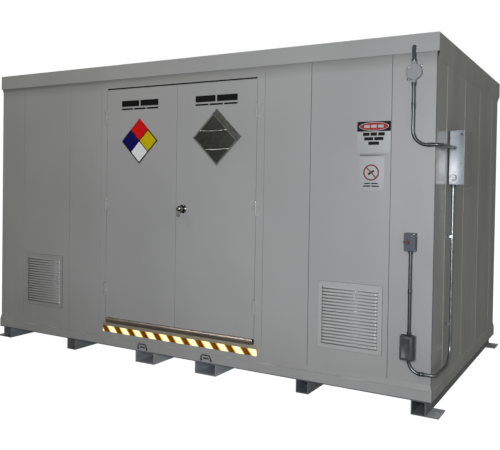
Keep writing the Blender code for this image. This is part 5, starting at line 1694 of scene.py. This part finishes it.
class STORAGE_OT_ceiling_light(bpy.types.Operator):
    """Makes the ceiling light: cast base, glass jar and guard"""
    bl_idname = "storage.ceiling_light"
    bl_label = "Ceiling light"
    bl_options = {"REGISTER", "UNDO"}

    def execute(self, context):
        low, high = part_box("ceiling_light")
        centre = Vector(((low.x + high.x) / 2, (low.y + high.y) / 2, high.z))
        down = (0, 0, -1)
        shape = bmesh.new()
        add_turned(shape, [
            (0.0, 0.0), (0.0840, 0.0), (0.0850, 0.0012), (0.0850, 0.0240), (0.0820, 0.0290),
            (0.0640, 0.0330), (0.0580, 0.0370), (0.0552, 0.0430), (0.0552, 0.0600),
            (0.0540, 0.0618), (0.0, 0.0618),
        ], centre, down, 64)
        for turn in (45, 135, 225, 315):
            spot = centre + Vector((0.073 * math.cos(math.radians(turn)),
                                    0.073 * math.sin(math.radians(turn)), -0.0300))
            add_screw(shape, spot, down, 0.0042, 0)
        piece("ceiling_light_base", shape, ("junction_enamel", "black_polymer"),
              stands_for=["ceiling_light"])
        shape = bmesh.new()
        add_turned(shape, [
            (0.0, 0.0625), (0.0480, 0.0625), (0.0490, 0.0660), (0.0490, 0.1340), (0.0455, 0.1520),
            (0.0350, 0.1670), (0.0180, 0.1745), (0.0, 0.1765),
        ], centre, down, 48)
        piece("ceiling_light_jar", shape, "lamp_glass")
        shape = bmesh.new()
        for step in range(6):
            turn = math.radians(60 * step + 15)
            side = Vector((math.cos(turn), math.sin(turn), 0.0))
            points = [centre + side * radius + Vector((0.0, 0.0, -along)) for radius, along in (
                (0.0535, 0.0600), (0.0535, 0.0900), (0.0535, 0.1300), (0.0500, 0.1540),
                (0.0400, 0.1710), (0.0230, 0.1795), (0.0020, 0.1812))]
            add_tube(shape, points, 0.0015, 8)
        for radius, along in ((0.0535, 0.1000), (0.0520, 0.1440), (0.0230, 0.1795)):
            points = [centre + Vector((radius * math.cos(math.radians(a)),
                                       radius * math.sin(math.radians(a)), -along))
                      for a in range(0, 361, 12)]
            add_tube(shape, points, 0.0015, 8)
        piece("ceiling_light_guard", shape, "bright_zinc")
        return {"FINISHED"}


class STORAGE_OT_stage(bpy.types.Operator):
    """Sets the pale floor, the soft lights, the world and the camera"""
    bl_idname = "storage.stage"
    bl_label = "Stage"
    bl_options = {"REGISTER", "UNDO"}

    def execute(self, context):
        stage = context.scene.storage_stage
        context.scene.view_settings.view_transform = "Standard"
        self.floor()
        self.world(context.scene, stage.ambient, stage.side_glow)
        camera_at = Vector(CAMERA_PLACE)
        self.light("key", stage.key_power, 1.5, camera_at + Vector((-0.60, -0.5, 0.3)),
                   at(0.45, 0.0, 1.10), (0.93, 0.945, 1.0))
        self.light("corner", stage.corner_power, 0.7, (-2.3, -3.05, 5.4), at(-0.1, 0.0, 1.3),
                   (1.0, 0.98, 0.86))
        self.light("rear", stage.rear_power, 5.0, (-3.5, 7.0, 5.5), at(0.0, 2.0, 1.0),
                   (1.0, 1.0, 1.0))
        self.camera(context.scene, stage.focal_length)
        return {"FINISHED"}

    def floor(self):
        shape = bmesh.new()
        bmesh.ops.create_circle(shape, cap_ends=True, segments=96, radius=60.0)
        mesh = bpy.data.meshes.new("studio_floor")
        shape.to_mesh(mesh)
        shape.free()
        made, tree, shader, where = started("studio_floor", Roughness=0.9)
        shader.inputs["Specular IOR Level"].default_value = 0.0
        shader.inputs["Emission Strength"].default_value = 0.97
        shader.inputs["Emission Color"].default_value = (1.0, 1.0, 1.0, 1.0)
        cloud = noise(tree, where, 0.4, 3.0)
        link(tree, shader, Base_Color=ramp(tree, cloud, [(0.3, 0.30), (0.7, 0.34)]))
        mesh.materials.append(made)
        floor = bpy.data.objects.new("studio_floor", mesh)
        floor.visible_diffuse = False
        floor.visible_glossy = False
        bpy.context.scene.collection.objects.link(floor)

    def world(self, scene, ambient, side_glow):
        """White behind the object; for light and reflections, a dim room that glows on one side."""
        world = bpy.data.worlds.new("studio")
        world.use_nodes = True
        scene.world = world
        tree = world.node_tree
        tree.nodes.clear()
        way = node(tree, "ShaderNodeTexCoord", {}).outputs["Generated"]
        sky = axes(tree, way)
        lift = node(tree, "ShaderNodeMapRange", {
            "Value": sky["Z"], "From Min": -1.0, "From Max": 1.0}).outputs["Result"]
        room = ramp(tree, lift, [
            (0.0, (0.33, 0.30, 0.25)), (0.44, (0.40, 0.37, 0.31)), (0.53, (0.44, 0.41, 0.35)),
            (0.70, (1.02, 0.97, 0.87)), (1.0, (1.40, 1.32, 1.20)),
        ])
        glow = ramp(tree, sky["X"], [(0.0, 0.0), (1.0, (0.97, 1.0, 0.98))])
        dim = node(tree, "ShaderNodeBackground", {"Color": room, "Strength": ambient})
        bright = node(tree, "ShaderNodeBackground", {"Color": glow, "Strength": side_glow})
        soft = node(tree, "ShaderNodeAddShader", {0: dim.outputs[0], 1: bright.outputs[0]})
        white = node(tree, "ShaderNodeBackground", {
            "Color": (1.0, 1.0, 1.0, 1.0), "Strength": 1.0})
        seen = node(tree, "ShaderNodeLightPath", {}).outputs["Is Camera Ray"]
        both = node(tree, "ShaderNodeMixShader", {
            0: seen, 1: soft.outputs[0], 2: white.outputs[0]})
        node(tree, "ShaderNodeOutputWorld", {"Surface": both.outputs[0]})

    def light(self, name, power, size, place, target, tone):
        lamp = bpy.data.lights.new(f"{name}_light", "AREA")
        lamp.shape = "DISK"
        lamp.size = size
        lamp.energy = power
        lamp.color = tone
        obj = bpy.data.objects.new(f"{name}_light", lamp)
        obj.location = place
        aim = Vector(target) - Vector(place)
        obj.rotation_euler = aim.to_track_quat("-Z", "Y").to_euler()
        bpy.context.scene.collection.objects.link(obj)

    def camera(self, scene, focal_length):
        yaw, pitch, roll = CAMERA_TURN
        ahead = Vector((-math.sin(yaw) * math.cos(pitch), math.cos(yaw) * math.cos(pitch),
                        math.sin(pitch)))
        level = ahead.cross(Vector((0.0, 0.0, 1.0))).normalized()
        upright = level.cross(ahead)
        right = level * math.cos(roll) + upright * math.sin(roll)
        up = upright * math.cos(roll) - level * math.sin(roll)
        data = bpy.data.cameras.new("camera")
        data.sensor_width = 36.0
        data.lens = focal_length
        data.shift_x, data.shift_y = CAMERA_SHIFT
        data.clip_end = 200.0
        obj = bpy.data.objects.new("camera", data)
        turn = Matrix((right, up, -ahead)).transposed().to_4x4()
        obj.matrix_world = Matrix.Translation(CAMERA_PLACE) @ turn
        scene.collection.objects.link(obj)
        scene.camera = obj


PIECE_BUILDERS = (
    STORAGE_OT_shell, STORAGE_OT_sealant, STORAGE_OT_skids, STORAGE_OT_pocket_staples,
    STORAGE_OT_doors, STORAGE_OT_hardware, STORAGE_OT_lockset, STORAGE_OT_louvres,
    STORAGE_OT_hazard_diamond, STORAGE_OT_placard_holder, STORAGE_OT_reflective_tape,
    STORAGE_OT_labels, STORAGE_OT_junction_box, STORAGE_OT_roof_conduit, STORAGE_OT_conduits,
    STORAGE_OT_breaker_box, STORAGE_OT_switch, STORAGE_OT_outlet, STORAGE_OT_floor,
    STORAGE_OT_ceiling_light, STORAGE_OT_stage,
)
SETTINGS = (
    ("storage_finish", StorageFinish),
    ("storage_vents", StorageVents),
    ("storage_signs", StorageSigns),
    ("storage_stage", StorageStage),
)


class STORAGE_PT_building(bpy.types.Panel):
    """Lists the settings and the builders"""
    bl_label = "Storage building"
    bl_idname = "STORAGE_PT_building"
    bl_space_type = "VIEW_3D"
    bl_region_type = "UI"
    bl_category = "Storage"

    def draw(self, context):
        for name, group in SETTINGS:
            box = self.layout.box()
            for field in group.__annotations__:
                box.prop(getattr(context.scene, name), field)
        for builder in PIECE_BUILDERS:
            self.layout.operator(builder.bl_idname)


def register():
    for name, group in SETTINGS:
        bpy.utils.register_class(group)
        setattr(bpy.types.Scene, name, bpy.props.PointerProperty(type=group))
    for builder in PIECE_BUILDERS:
        bpy.utils.register_class(builder)
    bpy.utils.register_class(STORAGE_PT_building)


def unregister():
    bpy.utils.unregister_class(STORAGE_PT_building)
    for builder in reversed(PIECE_BUILDERS):
        bpy.utils.unregister_class(builder)
    for name, group in reversed(SETTINGS):
        delattr(bpy.types.Scene, name)
        bpy.utils.unregister_class(group)


def main():
    register()
    for builder in PIECE_BUILDERS:
        family, name = builder.bl_idname.split(".")
        getattr(getattr(bpy.ops, family), name)()


if __name__ == "__main__":
    main()
